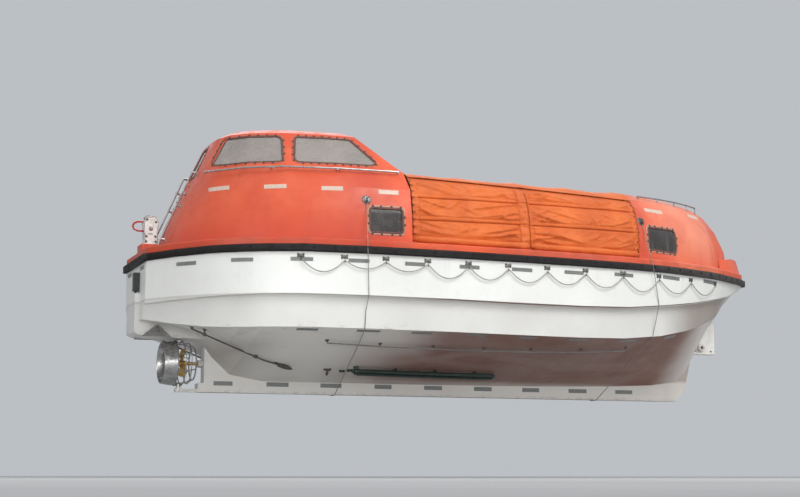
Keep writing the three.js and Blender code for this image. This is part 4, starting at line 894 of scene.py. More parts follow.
# ------------------------------------------------------------------ fittings that hold the grab lines
for side, s in SIDES:
    plate = Piece(f"line_fittings_{side}", M_RING)
    bolts = Piece(f"line_fitting_bolts_{side}", M_BOLT)
    pts = LINES[side][0].data.splines[0].points
    for i, xc in enumerate(LINE_X):
        x = xc / 1000
        z = sheer_z(xc) / 1000 - KEEL - 0.050
        p, n = from_side("hull", x, z, s)
        t, b, n = frame_of(n, (1, 0, 0))
        # four-lobed plate: a boss and four ears, each with its bolt
        plate.lathe(p, n, [(0.023, -0.001), (0.023, 0.006), (0.018, 0.010), (0.008, 0.013)], 14)
        for a in (45, 135, 225, 315):
            c, d = math.cos(math.radians(a)), math.sin(math.radians(a))
            e = p + t * (c * 0.046) + b * (d * 0.019)
            plate.lathe(e, n, [(0.0165, -0.001), (0.0165, 0.004), (0.013, 0.0055)], 12)
            plate.tube([p + n * 0.003, e + n * 0.002], 0.009, 8)
            bolts.bolt(e + n * 0.0045, n, 0.0056, 0.006)
        # stem down to the eye that the rope runs through
        near = min(pts, key=lambda q: (q.co.x - x) ** 2)
        eye = Vector(near.co[:3])
        plate.tube([p + n * 0.008, p + n * 0.020 + Vector((0, 0, -0.018)), eye + Vector((0, 0, 0.018))], 0.0052, 6)
        plate.ring(eye, (1, 0, 0), 0.0135, 0.0042, 16, 6)
    plate.done(40)
    bolts.done(40)

# ------------------------------------------------------------------ bolts along the strake
for side, s in SIDES:
    k = Piece(f"strake_bolts_{side}", M_CAP)
    x = -4.60
    while x < 4.62:
        z = sheer_z(x * 1000) / 1000 - KEEL + 0.062
        p, n = from_side("fender", x, z, s)
        if p is not None:
            k.lathe(p, n, [(0.022, -0.003), (0.022, 0.002), (0.017, 0.004), (0.009, 0.005)], 14)
        x += 0.272 * max(0.25, abs(n.y) if p is not None else 1)
    if s < 0:
        for y in (-0.5, -0.22, 0.06, 0.34):
            p, n = cast("fender", (-6, y, sheer_z(-4740) / 1000 - KEEL + 0.062), (1, 0, 0))
            if p is not None:
                k.lathe(p, n, [(0.022, -0.003), (0.022, 0.002), (0.017, 0.004), (0.009, 0.005)], 14)
    k.done(40)


# ------------------------------------------------------------------ seals and bolts round the windows
def inset_poly(poly, d):
    """moves a convex outline's sides outwards by d; poly turns anticlockwise"""
    n = len(poly)
    out = []
    for i in range(n):
        a, b, c = Vector(poly[i - 1]), Vector(poly[i]), Vector(poly[(i + 1) % n])
        e1, e2 = (b - a).normalized(), (c - b).normalized()
        n1, n2 = Vector((e1.y, -e1.x)), Vector((e2.y, -e2.x))
        m = (n1 + n2) / (1 + n1.dot(n2))
        out.append(b + m * d)
    return out


def round_poly(poly, r, n=5):
    out = []
    m = len(poly)
    for i in range(m):
        a, b, c = Vector(poly[i - 1]), Vector(poly[i]), Vector(poly[(i + 1) % m])
        d1, d2 = (a - b).normalized(), (c - b).normalized()
        half = math.acos(max(-1, min(1, d1.dot(d2)))) / 2
        t = r / math.tan(half)
        centre = b + (d1 + d2).normalized() * (r / math.sin(half))
        p, q = b + d1 * t, b + d2 * t
        a0, a1 = math.atan2(*(p - centre).yx), math.atan2(*(q - centre).yx)
        da = (a1 - a0 + math.pi) % (2 * math.pi) - math.pi
        for k in range(n + 1):
            w = a0 + da * k / n
            out.append(centre + Vector((math.cos(w), math.sin(w))) * r)
    return out


def spaced(loop, step):
    """points along a closed loop, about step apart"""
    out = []
    m = len(loop)
    for i in range(m):
        a, b = loop[i], loop[(i + 1) % m]
        k = max(1, round((b - a).length / step))
        out += [a + (b - a) * j / k for j in range(k)]
    return out


def even(loop, count):
    seg = [(loop[i], loop[(i + 1) % len(loop)]) for i in range(len(loop))]
    total = sum((b - a).length for a, b in seg)
    out, at, acc = [], 0, 0.0
    for k in range(count):
        want = total * (k + 0.5) / count
        while acc + (seg[at][1] - seg[at][0]).length < want:
            acc += (seg[at][1] - seg[at][0]).length
            at += 1
        a, b = seg[at]
        out.append(a + (b - a) * ((want - acc) / (b - a).length))
    return out


def window_trim(tag, wall, poly, r, project, bead, band, bolt_step, bolt_r, body="boat", frame_mat=None, bolt_at=None):
    """poly in metres in the window's own two axes; project(u, v) gives the wall's point and normal"""
    centre = sum((Vector(p) for p in poly), Vector((0, 0))) / len(poly)
    area2 = sum(poly[i - 1][0] * poly[i][1] - poly[i][0] * poly[i - 1][1] for i in range(len(poly)))
    if area2 < 0:
        poly = poly[::-1]
    loop = round_poly(poly, r)
    steps = spaced(loop, 0.035)
    m = len(steps)

    def out_at(i, d):
        a, b = steps[i - 1], steps[(i + 1) % m]
        e = (b - a).normalized()
        return steps[i] + Vector((e.y, -e.x)) * d

    near, far = [], []
    for i in range(m):
        b, nb = project(*out_at(i, 0.045))
        a, na = None, None
        for d in (0.004, 0.008, 0.013, 0.019, 0.026):
            a, na = project(*out_at(i, d))
            if a is not None and b is not None and (a - b).length < 0.075:
                # slide back to the pane's own edge
                a = a + (a - b).normalized() * (d - 0.004)
                break
            a = None
        if a is None and b is not None and near:
            # a fold in the wall: step in from the far edge as the point before did
            a, na = b + near[-1][0] - far[-1][0], nb
        if a is None or b is None:
            print("no wall for", tag, i, a, b)
            return
        near.append((a, na))
        far.append((b, nb))
    # the rubber bead over the pane's edge
    seal = Piece(f"{tag}_seal", M_SEAL, body)
    verts, faces = [], []
    prof = [(-0.016, -0.010), (-0.016, 0.001), (-0.009, bead), (0.004, bead), (0.012, 0.003), (0.013, -0.002), (0.0, -0.005)]
    for (a, na), (b, nb) in zip(near, far):
        t = (b - a).normalized()
        for o, h in prof:
            verts.append(a + t * (o - 0.002) + na * h)
    q = len(prof)
    for i in range(m):
        j = (i + 1) % m
        for k in range(q):
            k2 = (k + 1) % q
            faces.append((i * q + k, i * q + k2, j * q + k2, j * q + k))
    seal.add(verts, faces)
    seal.done(50)
    if band:
        rim = Piece(f"{tag}_rim", frame_mat or M["orange_moulding"], body)
        verts, faces = [], []
        prof = [(0.009, -0.001), (0.010, 0.004), (0.014, 0.006), (band - 0.006, 0.006), (band, 0.003), (band + 0.003, -0.001)]
        for (a, na), (b, nb) in zip(near, far):
            t = (b - a).normalized()
            for o, h in prof:
                verts.append(a + t * o + na * h)
        q = len(prof)
        for i in range(m):
            j = (i + 1) % m
            for k in range(q):
                k2 = (k + 1) % q
                faces.append((i * q + k, i * q + k2, j * q + k2, j * q + k))
        rim.add(verts, faces)
        rim.done(50)
    bolts = Piece(f"{tag}_bolts", M_BOLT, body)
    per = sum((steps[(i + 1) % m] - steps[i]).length for i in range(m))
    off = bolt_at if bolt_at is not None else (band / 2 + 0.006 if band else 0.022)
    for c in even(steps, max(4, round(per / bolt_step))):
        i = min(range(m), key=lambda k: (steps[k] - c).length)
        a, na = near[i]
        b, nb = far[i]
        bolts.bolt(a + (b - a).normalized() * (off - 0.004) + na * (0.005 if band else 0.0), na, bolt_r, 0.009)
    bolts.done(50)


def mm(poly):
    return [(a / 1000, b / 1000 - KEEL) for a, b in poly]


WINDOWS = [
    ("cabin_window_aft", "aft_canopy", [(-3900, 2965), (-3120, 2965), (-3060, 3365), (-3700, 3365)], 60, 0.105, 0.030),
    ("cabin_window_fwd", "aft_canopy", [(-2975, 2965), (-1822, 2965), (-2135, 3365), (-2885, 3365)], 60, 0.105, 0.030),
    ("aft_side_light", "aft_canopy", [(-2080, 2010), (-1630, 2010), (-1630, 2335), (-2080, 2335)], 45, 0.120, 0.034),
    ("fore_side_light", "fore_canopy", [(2255, 2060), (2822, 2060), (2806, 2390), (2245, 2385)], 45, 0.120, 0.034),
]
M_RIM = paint("rim_grey_orange", (0.50, 0.22, 0.15), (0.36, 0.19, 0.14), chip=(0.22, 0.19, 0.17), chips=0.8, scale=14)
M_CABIN_RIM = paint("rim_brown_orange", (0.52, 0.105, 0.045), (0.42, 0.085, 0.040), chip=(0.24, 0.12, 0.08), chips=0.7, scale=14)
for side, s in SIDES:
    for tag, wall, poly, r, step, band in WINDOWS:
        window_trim(
            f"{tag}_{side}", wall, mm(poly), r / 1000,
            lambda u, v, wall=wall, s=s: from_side(wall, u, v, s),
            0.009, band, step, 0.0115, frame_mat=M_CABIN_RIM if tag.startswith("cabin") else M_RIM,
        )
window_trim(
    "front_screen", "aft_canopy", mm([(-1050, 2965), (1050, 2965), (930, 3350), (-930, 3350)]), 0.07,
    lambda u, v: cast("aft_canopy", (1.0, u, v), (-1, 0, 0)), 0.009, 0, 0.130, 0.0115,
)
window_trim(
    "aft_window", "aft_canopy", mm([(-185, 2930), (185, 2930), (150, 3350), (-150, 3350)]), 0.04,
    lambda u, v: cast("aft_canopy", (-6.0, u, v), (1, 0, 0)), 0.009, 0, 0.110, 0.0100,
)

# ------------------------------------------------------------------ ring fittings and the taut lines from them
RINGS = {"aft": (-2.117, 1.718, "aft_canopy"), "fore": (2.129, 1.733, "fore_canopy")}
for side, s in SIDES:
    k = Piece(f"ring_fittings_{side}", M_RING)
    dark = Piece(f"ring_fitting_bolts_{side}", M_BOLT)
    for tag, (x, z, wall) in RINGS.items():
        p, n = from_side(wall, x, z, s)
        k.lathe(p, n, [(0.062, -0.001), (0.062, 0.006), (0.056, 0.009), (0.030, 0.010), (0.028, 0.018), (0.018, 0.020)], 20)
        t, b, nn = frame_of(n)
        for a in (45, 135, 225, 315):
            c, d = math.cos(math.radians(a)), math.sin(math.radians(a))
            dark.bolt(p + (t * c + b * d) * 0.046 + n * 0.008, n, 0.007, 0.007)
        k.ring(p + n * 0.034, b, 0.021, 0.0065, 18, 7)
        dark.lathe(p + n * 0.030 - Vector((0, 0, 0.026)), Vector((0, 0, -1)), [(0.010, 0.0), (0.013, 0.006), (0.013, 0.020), (0.008, 0.026)], 8)
    k.done(40)
    dark.done(40)


def bottom_path(a, b, s, n, off):
    """under the hull from (x, half-breadth) a to b, lying on the plating"""
    out = []
    for i in range(n + 1):
        x, y = a[0] + (b[0] - a[0]) * i / n, a[1] + (b[1] - a[1]) * i / n
        p, q = from_below("hull", x, s * y)
        out.append(p + q * off)
    return out


def on_side(x, z, s, off, names="hull"):
    p, q = from_side(names, x, z, s)
    return p + q * off


R_THIN = 0.0055
for side, s in SIDES:
    k = Piece(f"side_lines_{side}", M_LINE)
    # aft line: ring, over the strake, down the side, under the chine, over the grab rail, to the keel
    p, n = from_side("aft_canopy", -2.117, 1.718, s)
    top = p + n * 0.030 - Vector((0, 0, 0.052))
    strake = [Vector((x, s * y, z)) for x, y, z in ((-2.186, 2.1795, 1.070), (-2.185, 2.1800, 1.030), (-2.182, 2.1790, 0.985))]
    low = [on_side(-2.142, 0.46, s, 0.008), on_side(-2.148, 0.25, s, 0.007), Vector((-2.152, s * 1.9795, 0.030)), Vector((-2.150, s * 1.955, 0.008))]
    rail, _ = cast(f"bottom_rail_{side}", (-2.102, s * 1.551, -2.0), (0, 0, 1))
    bottom = [rail - Vector((0, 0, 0.0075))]
    keel = [Vector((-1.937, s * 0.104, -0.716)), Vector((-1.934, s * 0.088, -0.7265)), Vector((-1.930, 0, -0.7265))]
    k.tube([top] + strake + low + bottom + keel, R_THIN, 6)
    # fore line
    p, n = from_side("fore_canopy", 2.129, 1.733, s)
    top = p + n * 0.030 - Vector((0, 0, 0.052))
    f, fn = from_side("fender", 2.205, 1.05, s)
    strake = [f + fn * 0.008 + Vector((0, 0, 0.03)), f + fn * 0.008, f + fn * 0.008 - Vector((-0.01, 0, 0.05))]
    low = [on_side(2.352, 0.575, s, 0.009), on_side(2.358, 0.556, s, 0.009), Vector((2.360, s * (abs(on_side(2.358, 0.556, s, 0.0).y) + 0.002), 0.530))]
    low += [on_side(2.338, 0.175, s, 0.008)]
    z = 0.165
    while z > -0.30:
        c, cn = from_side("hull", 2.332, z - 0.01, s)
        if c is None or cn.z < -0.30:
            break
        z -= 0.01
    edge, en = from_side("hull", 2.332, z, s)
    low += [edge + Vector((0, s * 0.008, 0)), edge + Vector((0, s * 0.005, -0.013))]
    under = abs(edge.y) - 0.030
    bottom = [bottom_path((2.330, under), (2.318, under - 0.05), s, 1, 0.008)[0], bottom_path((2.322, 1.47), (2.318, 1.40), s, 1, 0.008)[1]]
    keel = [Vector((2.146, s * 0.104, -0.716)), Vector((2.142, s * 0.088, -0.7265)), Vector((2.140, 0, -0.7265))]
    k.tube([top] + strake + low + bottom + keel, R_THIN, 6)
    k.done(60)


# ------------------------------------------------------------------ small fittings under and around the hull
def stub(piece, names, p, d, r, foot_r, foot_h=0.010):
    """a post from p on to the surface met along d, with a round foot on it"""
    q, n = cast(names, p, d)
    if q is None:
        print("no surface under", piece.name, tuple(p))
        return None
    piece.tube([Vector(p), q], r, 8)
    piece.lathe(q, n, [(foot_r, -0.003), (foot_r, foot_h * 0.55), (foot_r * 0.7, foot_h), (foot_r * 0.3, foot_h)], 12)
    return q


RAIL_POSTS = [(-2.526, 1.561), (-1.781, 1.521), (-1.021, 1.501), (-0.266, 1.471), (0.450, 1.440), (1.241, 1.389), (1.990, 1.300)]
for side, s in SIDES:
    # feet of the grab rail along the bottom
    k = Piece(f"bottom_rail_feet_{side}", M_ROD)
    for x, y in RAIL_POSTS:
        p, n = from_below("hull", x, s * y)
        k.lathe(p, n, [(0.027, -0.003), (0.027, 0.006), (0.021, 0.012), (0.0125, 0.016), (0.0125, 0.026)], 14)
    k.done(45)
    # keel cooler: the flanges where its pipes enter, saddles along it, a plug ahead of it
    k = Piece(f"keel_cooler_fittings_{side}", M["green_paint"], slot="green_paint")
    for y in (0.715, 0.597):
        p, n = from_below("hull", -1.838, s * y)
        k.lathe(p, n, [(0.038, -0.004), (0.038, 0.008), (0.030, 0.012), (0.026, 0.030), (0.022, 0.036)], 14)
    q, m = from_below("hull", -1.905, s * 0.600)
    k.lathe(q, m, [(0.036, -0.004), (0.036, 0.010), (0.028, 0.022), (0.012, 0.030)], 12)
    for x in (-1.25, -0.65, -0.05):
        y = 0.700 - (x + 1.450) * 60 / 1650
        p, n = from_below("hull", x, s * (y - 0.060))
        k.box(p + n * 0.012, (0.032, 0.150, 0.022), (Vector((1, 0, 0)), n.cross(Vector((1, 0, 0))), n), 0.008)
    p, n = from_below("hull", -2.030, s * 0.583)
    q, m = from_below("hull", -1.975, s * 0.580)
    k.tube([p + n * 0.004, p + n * 0.016 + Vector((0.006, 0, 0)), q + m * 0.018, q + m * 0.004 + Vector((0.016, 0, 0))], 0.015, 10)
    k.done(45)
    # bracket under the bottom ahead of the run: a short bar on a fore-and-aft foot
    k = Piece(f"bottom_bracket_{side}", M_ROD)
    a, na = from_below("hull", -2.250, s * 0.610)
    b, nb = from_below("hull", -2.175, s * 0.616)
    c, nc = from_below("hull", -2.205, s * 0.600)
    d, nd = from_below("hull", -2.166, s * 0.440)
    k.tube([a + na * 0.012, b + nb * 0.012], 0.016, 10)
    k.tube([c + nc * 0.012, (c + d) / 2 + nc * 0.014, d + nd * 0.010], 0.013, 10)
    for p, n in ((a, na), (b, nb), (d, nd)):
        k.lathe(p, n, [(0.021, -0.003), (0.021, 0.006), (0.014, 0.012), (0.008, 0.026)], 10)
    k.done(45)
    # rod under the aft bottom with its clamps and the shoe at its forward end
    k = Piece(f"bilge_rod_{side}", M_ROD)
    path = [Vector((-4.181, s * 0.93, 0.056)), Vector((-3.583, s * 0.955, -0.187)), Vector((-3.183, s * 0.848, -0.322)), Vector((-2.745, s * 0.660, -0.415))]
    # seen from the side the rod's clamps hide their stubs behind them
    k.tube(path, 0.011, 8)
    for f, (i, j) in ((0.30, (0, 1)), (0.72, (1, 2)), (0.45, (2, 3)), (0.02, (0, 1))):
        stub(k, "hull", path[i] + (path[j] - path[i]) * f, (0, 0, 1), 0.012, 0.030)
    for f, (i, j) in ((0.30, (0, 1)), (0.72, (1, 2))):
        c = path[i] + (path[j] - path[i]) * f
        k.lathe(c - (path[j] - path[i]).normalized() * 0.03, path[j] - path[i], [(0.013, 0.0), (0.022, 0.008), (0.022, 0.052), (0.013, 0.060)], 12)
    sh, d = path[2] + (path[3] - path[2]) * 0.50, (path[3] - path[2]).normalized()
    k.lathe(sh, d, [(0.012, 0.0), (0.026, 0.03), (0.032, 0.10), (0.030, 0.17), (0.020, 0.23), (0.010, 0.26)], 14)
    k.done(45)
    # stern lugs: ring and pin on the boss, bolts in the plate
    k = Piece(f"stern_lug_pins_{side}", M["galvanised"], slot="galvanised")
    c = Vector((-4.490, s * 0.318, 0.086))
    out = Vector((0, s, 0))
    k.lathe(c, out, [(0.026, -0.004), (0.026, 0.006), (0.019, 0.010), (0.015, 0.022), (0.008, 0.026)], 14)
    k.ring(c + out * 0.010, out, 0.041, 0.006, 20, 6)
    for x, z in ((-4.655, 0.018), (-4.345, 0.018), (-4.50, 0.128)):
        k.bolt(Vector((x, s * 0.298, z)), out, 0.010, 0.012)
    k.done(45)
    # boss through the bow fin
    k = Piece(f"bow_fin_boss_{side}", M["white_paint"], slot="white_paint")
    q = Piece(f"bow_fin_boss_hole_{side}", M_BOLT)
    p, n = from_side("bow_fin", 3.990, 0.112, s, 1.5)
    if p is not None:
        top = max(0.074 - abs(p.y), 0.004)
        k.lathe(p, Vector((0, s, 0)), [(0.060, -0.004), (0.060, top * 0.4), (0.050, top * 0.75), (0.040, top)], 20)
        k.ring(Vector((p.x, s * (abs(p.y) + top * 0.8), p.z)), Vector((0, s, 0)), 0.044, 0.007, 20, 7)
        q.lathe(Vector((p.x, s * (abs(p.y) + top), p.z)), Vector((0, s, 0)), [(0.026, -0.004), (0.026, 0.001), (0.016, 0.002), (0.008, 0.0025)], 16)
        for x, z in ((3.90, 0.060), (3.90, 0.60), (4.18, 0.060), (4.18, 0.60)):
            e, m = from_side("bow_fin", x, z, s, 1.5)
            if e is not None:
                q.bolt(e, m, 0.009, 0.008)
    k.done(45)
    q.done(45)
    # feet of the rails along the canopies
    k = Piece(f"rail_feet_{side}", M["stainless"], slot="stainless")
    for x in (2.320, 2.740, 3.150, 3.500, 3.770):
        z = 2.177 + (x - 2.32) * 50 / 1450
        e, _ = from_side(f"fore_rail_{side}", x, z, s)
        if e is not None:
            stub(k, "fore_canopy", (x, e.y - s * 0.012, z - 0.006), (0, 0, -1), 0.0078, 0.022)
    for x in (-3.980, -3.300, -2.450, -1.600):
        e, m = from_side(f"cabin_rail_{side}", x, 2.152, s)
        if e is not None:
            g, gn = from_side("aft_canopy", e.x, 2.152, s)
            if g is not None and (g - e).length < 0.3:
                d = Vector((-gn.x, -gn.y, 0)).normalized()
                stub(k, "aft_canopy", e + d * 0.012, d, 0.0078, 0.022)
    for z in (1.31, 1.78, 2.25):
        e, _ = cast(f"aft_handrail_{side}", (-6, s * 0.258, z), (1, 0, 0))
        if e is not None:
            stub(k, "aft_canopy", e + Vector((0.012, 0, 0)), Vector((0.95, 0, -0.32)), 0.0078, 0.022)
    k.done(45)

# hose from the transom box down to its skin fitting
k = Piece("transom_box_hose", M["black_plastic"], slot="black_plastic")
pts = [Vector((-4.786, -0.245, 0.600)), Vector((-4.788, -0.245, 0.540)), Vector((-4.786, -0.247, 0.47)), Vector((-4.780, -0.252, 0.41)), Vector((-4.768, -0.256, 0.370)), Vector((-4.750, -0.258, 0.345)), Vector((-4.736, -0.258, 0.332))]
k.tube(pts, 0.0115, 10)
k.lathe((-4.786, -0.245, 0.596), (0, 0, -1), [(0.020, 0.0), (0.020, 0.016), (0.015, 0.024), (0.0125, 0.034)], 12)
for dy, dz in ((-0.032, 0.60), (0.032, 0.60), (-0.032, 0.83), (0.032, 0.83)):
    k.lathe((-4.8215, -0.245 + dy * 1.05, dz + (0.012 if dz < 0.7 else -0.012)), (-1, 0, 0), [(0.0075, -0.002), (0.0075, 0.002), (0.005, 0.004)], 10)
k.done(45)

# handles and hinges on the hatches
for tag, body, wall in (("aft_hatch", "aft_lid", (-6, 1)), ("fore_hatch", "fore_lid", (6, -1))):
    k = Piece(f"{tag}_handles", M["stainless"], body, slot="stainless")
    zs = (1.80, 1.97) if tag == "aft_hatch" else (1.78, 1.95)
    for s in (-1, 1):
        for z in zs:
            p, n = cast(tag, (wall[0], s * 0.125, z), (wall[1], 0, 0))
            if p is None:
                continue
            t, b, nn = frame_of(n)
            k.lathe(p, n, [(0.022, -0.002), (0.022, 0.007), (0.013, 0.011), (0.012, 0.026), (0.009, 0.030)], 12)
            d = (b * s - t * 0.35).normalized()
            k.tube([p + n * 0.023 - d * 0.012, p + n * 0.024 + d * 0.022, p + n * 0.020 + d * 0.062], 0.0075, 8, [0.0085, 0.0075, 0.006])
    p, n = cast(tag, (wall[0], 0, (zs[0] + zs[1]) / 2 - 0.02), (wall[1], 0, 0))
    if p is not None:
        t, b, nn = frame_of(n)
        g = [p - b * 0.075 + n * 0.001, p - b * 0.075 + n * 0.030, p - b * 0.055 + n * 0.042, p + b * 0.055 + n * 0.042, p + b * 0.075 + n * 0.030, p + b * 0.075 + n * 0.001]
        k.tube(g, 0.0065, 8)
    k.done(45)
# bolts, ribs and pin ends on the hook frames
for tag, hx in (("aft", -4.565), ("fore", 4.030)):
    k = Piece(f"{tag}_hook_frame_bolts", M_BOLT)
    g = Piece(f"{tag}_hook_frame_pins", M["galvanised"], slot="galvanised")
    for s in (-1, 1):
        out = Vector((0, s, 0))
        for dx, dz in ((0.070, 0.045), (-0.060, 0.045), (0.066, 0.115), (-0.058, 0.115), (0.070, 0.315), (-0.050, 0.345)):
            k.bolt(Vector((hx + dx, s * 0.062, 1.256 + dz)), out, 0.0105, 0.010)
        for dx in (-0.085, 0.085):
            k.bolt(Vector((hx + dx, s * 0.083, 1.274)), Vector((0, 0, 1)), 0.010, 0.012)
        c = Vector((hx, s * 0.070, 1.256 + 0.222))
        g.lathe(c, out, [(0.026, -0.008), (0.026, 0.004), (0.020, 0.008), (0.012, 0.016), (0.006, 0.017)], 14)
        # stiffening bead round the cheek plate
        rim = [(0.098, 0.02), (0.092, 0.14), (0.102, 0.32), (0.058, 0.392), (-0.056, 0.374), (-0.090, 0.298), (-0.076, 0.12), (-0.076, 0.02)]
        g.tube([Vector((hx + dx, s * 0.0645, 1.256 + dz)) for dx, dz in rim], 0.0045, 6)
        g.tube([Vector((hx + 0.03, s * 0.0645, 1.256 + 0.150)), Vector((hx - 0.03, s * 0.0645, 1.256 + 0.150))], 0.0055, 6)
    k.done(45)
    g.done(45)


# ------------------------------------------------------------------ canvas
# section of the covered part: half-breadth and height at the aft and the fore end, mm
COVER = [
    (2010, 1888, 1645, 1912), (1985, 2250, 1640, 2290), (1915, 2600, 1535, 2590), (1720, 2835, 1370, 2795),
    (1300, 2925, 1105, 2925), (650, 2965, 560, 2975), (0, 2975, 0, 2985),
]
X_AFT, X_SPLIT, X_FWD = -1.495, 0.225, 2.050
STRIP = 0.145  # width of the bunched strip along the aft cover's free edge


def cover_column(k, x):
    """half-breadth and height of column k at x, metres"""
    t = (x - X_AFT) / (X_FWD - X_AFT)
    ya, za, yf, zf = COVER[min(k, 6)]
    y = ya + (yf - ya) * t + 4 * t * (1 - t) * 95 * (1 - min(k, 6) / 7)
    z = za + (zf - za) * t + (0 if k else -60)
    return y / 1000, z / 1000 - KEEL


def cover_at(k, x):
    """smooth through the columns; k from 0 at the deck to 6 at the ridge"""
    i = min(5, max(0, int(math.floor(k))))
    f = k - i

    def col(j):
        if j < 0:
            a, b = cover_column(0, x), cover_column(1, x)
            return 2 * a[0] - b[0], 2 * a[1] - b[1]
        if j > 6:
            y, z = cover_column(12 - j, x)
            return -y, z
        return cover_column(j, x)

    p0, p1, p2, p3 = (Vector(col(j)) for j in (i - 1, i, i + 1, i + 2))
    return 0.5 * ((2 * p1) + (p2 - p0) * f + (2 * p0 - 5 * p1 + 4 * p2 - p3) * f * f + (3 * p1 - p0 - 3 * p2 + p3) * f**3)


class Section:
    """the cover's section at one x, by arc length from its foot"""

    def __init__(self, x, k0, k1, n=70):
        self.pts = [cover_at(k0 + (k1 - k0) * i / n, x) for i in range(n + 1)]
        self.s = [0.0]
        for a, b in zip(self.pts, self.pts[1:]):
            self.s.append(self.s[-1] + (b - a).length)
        self.length = self.s[-1]

    def at(self, d):
        d = min(max(d, 0.0), self.length)
        lo, hi = 0, len(self.s) - 1
        while hi - lo > 1:
            mid = (lo + hi) // 2
            if self.s[mid] <= d:
                lo = mid
            else:
                hi = mid
        t = (d - self.s[lo]) / max(1e-9, self.s[hi] - self.s[lo])
        p = self.pts[lo].lerp(self.pts[hi], t)
        a, b = self.pts[max(0, lo - 1)], self.pts[min(len(self.pts) - 1, hi + 1)]
        e = (b - a).normalized()
        return p, Vector((e.y, -e.x))  # outward: +y side up and out

    def where(self, z):
        """arc length at which the section rises through z"""
        for j in range(len(self.pts) - 1):
            a, b = self.pts[j].y, self.pts[j + 1].y
            if a <= z < b:
                return self.s[j] + (self.s[j + 1] - self.s[j]) * (z - a) / (b - a)
        return 0.0


def deck_top(x):
    return sheer_z(x * 1000) / 1000 - KEEL + 0.186


# the two batten pockets on each side cover: height of their lower edge at x
def seam_low(x):
    return 1.488 + (x - X_AFT) * 0.020


def seam_high(x):
    return 1.795 + (x - X_AFT) * 0.021


def roof_edge(x):
    return 2.085 - (x - X_AFT) * 0.012


def sstep(a, b, v):
    t = min(1.0, max(0.0, (v - a) / (b - a)))
    return t * t * (3 - 2 * t)


def bell(v, c, w):
    return math.exp(-(((v - c) / w) ** 2))


def ridge(v):
    """sharp-crested fold from a -1..1 noise value"""
    return 1 - abs(v)


def creases(seed, x0, x1, meet_at_end):
    """pulled folds, one list a band: from, to, width above and below the crest, height, bow"""
    rnd = random.Random(seed)
    out = []
    w = x1 - x0
    strip = STRIP if meet_at_end else 0.035
    xm = x1 - strip if meet_at_end else x0 + strip  # where the panel meets the bunched edge
    xl = x0 + 0.075 if meet_at_end else x1 - 0.075  # where it meets the laced hem
    towards = -1 if meet_at_end else 1
    for za, zb in ((deck_top(0) + 0.13, 1.50), (1.51, 1.81), (1.82, 2.14)):
        h = zb - za
        band = []
        # from the batten ends at the bunched edge, running down and away
        zs = zb - 0.015
        for c in range(4):
            ln = w * rnd.uniform(0.22, 0.62)
            ze = max(za + 0.02, zs - h * rnd.uniform(0.35, 0.85))
            band.append(((xm, zs), (xm + towards * ln, ze), rnd.uniform(0.05, 0.09), rnd.uniform(0.018, 0.034), rnd.uniform(0.014, 0.026), rnd.uniform(-0.02, 0.09)))
            zs -= h * rnd.uniform(0.12, 0.28)
        # a few run up and away from the lower corner
        for c in range(2):
            ln = w * rnd.uniform(0.15, 0.40)
            band.append(((xm, za + h * rnd.uniform(0.0, 0.2)), (xm + towards * ln, za + h * rnd.uniform(0.35, 0.7)), rnd.uniform(0.03, 0.055), rnd.uniform(0.02, 0.03), rnd.uniform(0.008, 0.016), rnd.uniform(-0.04, 0.02)))
        # from the laced hem
        zs = zb - 0.02
        for c in range(3):
            ln = w * rnd.uniform(0.14, 0.42)
            ze = max(za + 0.02, zs - h * rnd.uniform(0.35, 0.8))
            band.append(((xl, zs), (xl - towards * ln, ze), rnd.uniform(0.035, 0.07), rnd.uniform(0.016, 0.03), rnd.uniform(0.010, 0.020), rnd.uniform(-0.02, 0.08)))
            zs -= h * rnd.uniform(0.15, 0.35)
        # in the middle: swags hanging from the pocket above
        for c in range(5):
            xs = x0 + w * rnd.uniform(0.15, 0.85)
            dx = rnd.choice((-1, 1)) * rnd.uniform(0.10, 0.40)
            band.append(((xs, zb - h * rnd.uniform(0.02, 0.35)), (xs + dx, za + h * rnd.uniform(0.08, 0.5)), rnd.uniform(0.03, 0.06), rnd.uniform(0.016, 0.03), rnd.uniform(0.006, 0.016), rnd.uniform(-0.05, 0.08)))
        out.append(band)
    return out


def crease_sum(x, z, band):
    d = 0.0
    for (xa, za), (xb, zb), wu, wd, h, bow in band:
        ex, ez = xb - xa, zb - za
        ln = math.hypot(ex, ez)
        ex, ez = ex / ln, ez / ln
        px, pz = x - xa, z - za
        u = px * ex + pz * ez
        if u < -0.02 or u > ln + 0.04:
            continue
        v = (px * -ez + pz * ex) * (1 if ex > 0 else -1)  # > 0 lies above the fold
        q = u / ln
        v += bow * ln * 4 * q * (1 - q)
        wide = 0.55 + 0.9 * q
        a = 1 - abs(v) / ((wu if v > 0 else wd) * wide)
        if a <= 0:
            continue
        fade = sstep(-0.02, 0.05, u) * (1 - sstep(ln * 0.45, ln + 0.03, u))
        d += 1.18 * h * fade * a**1.35
    return d


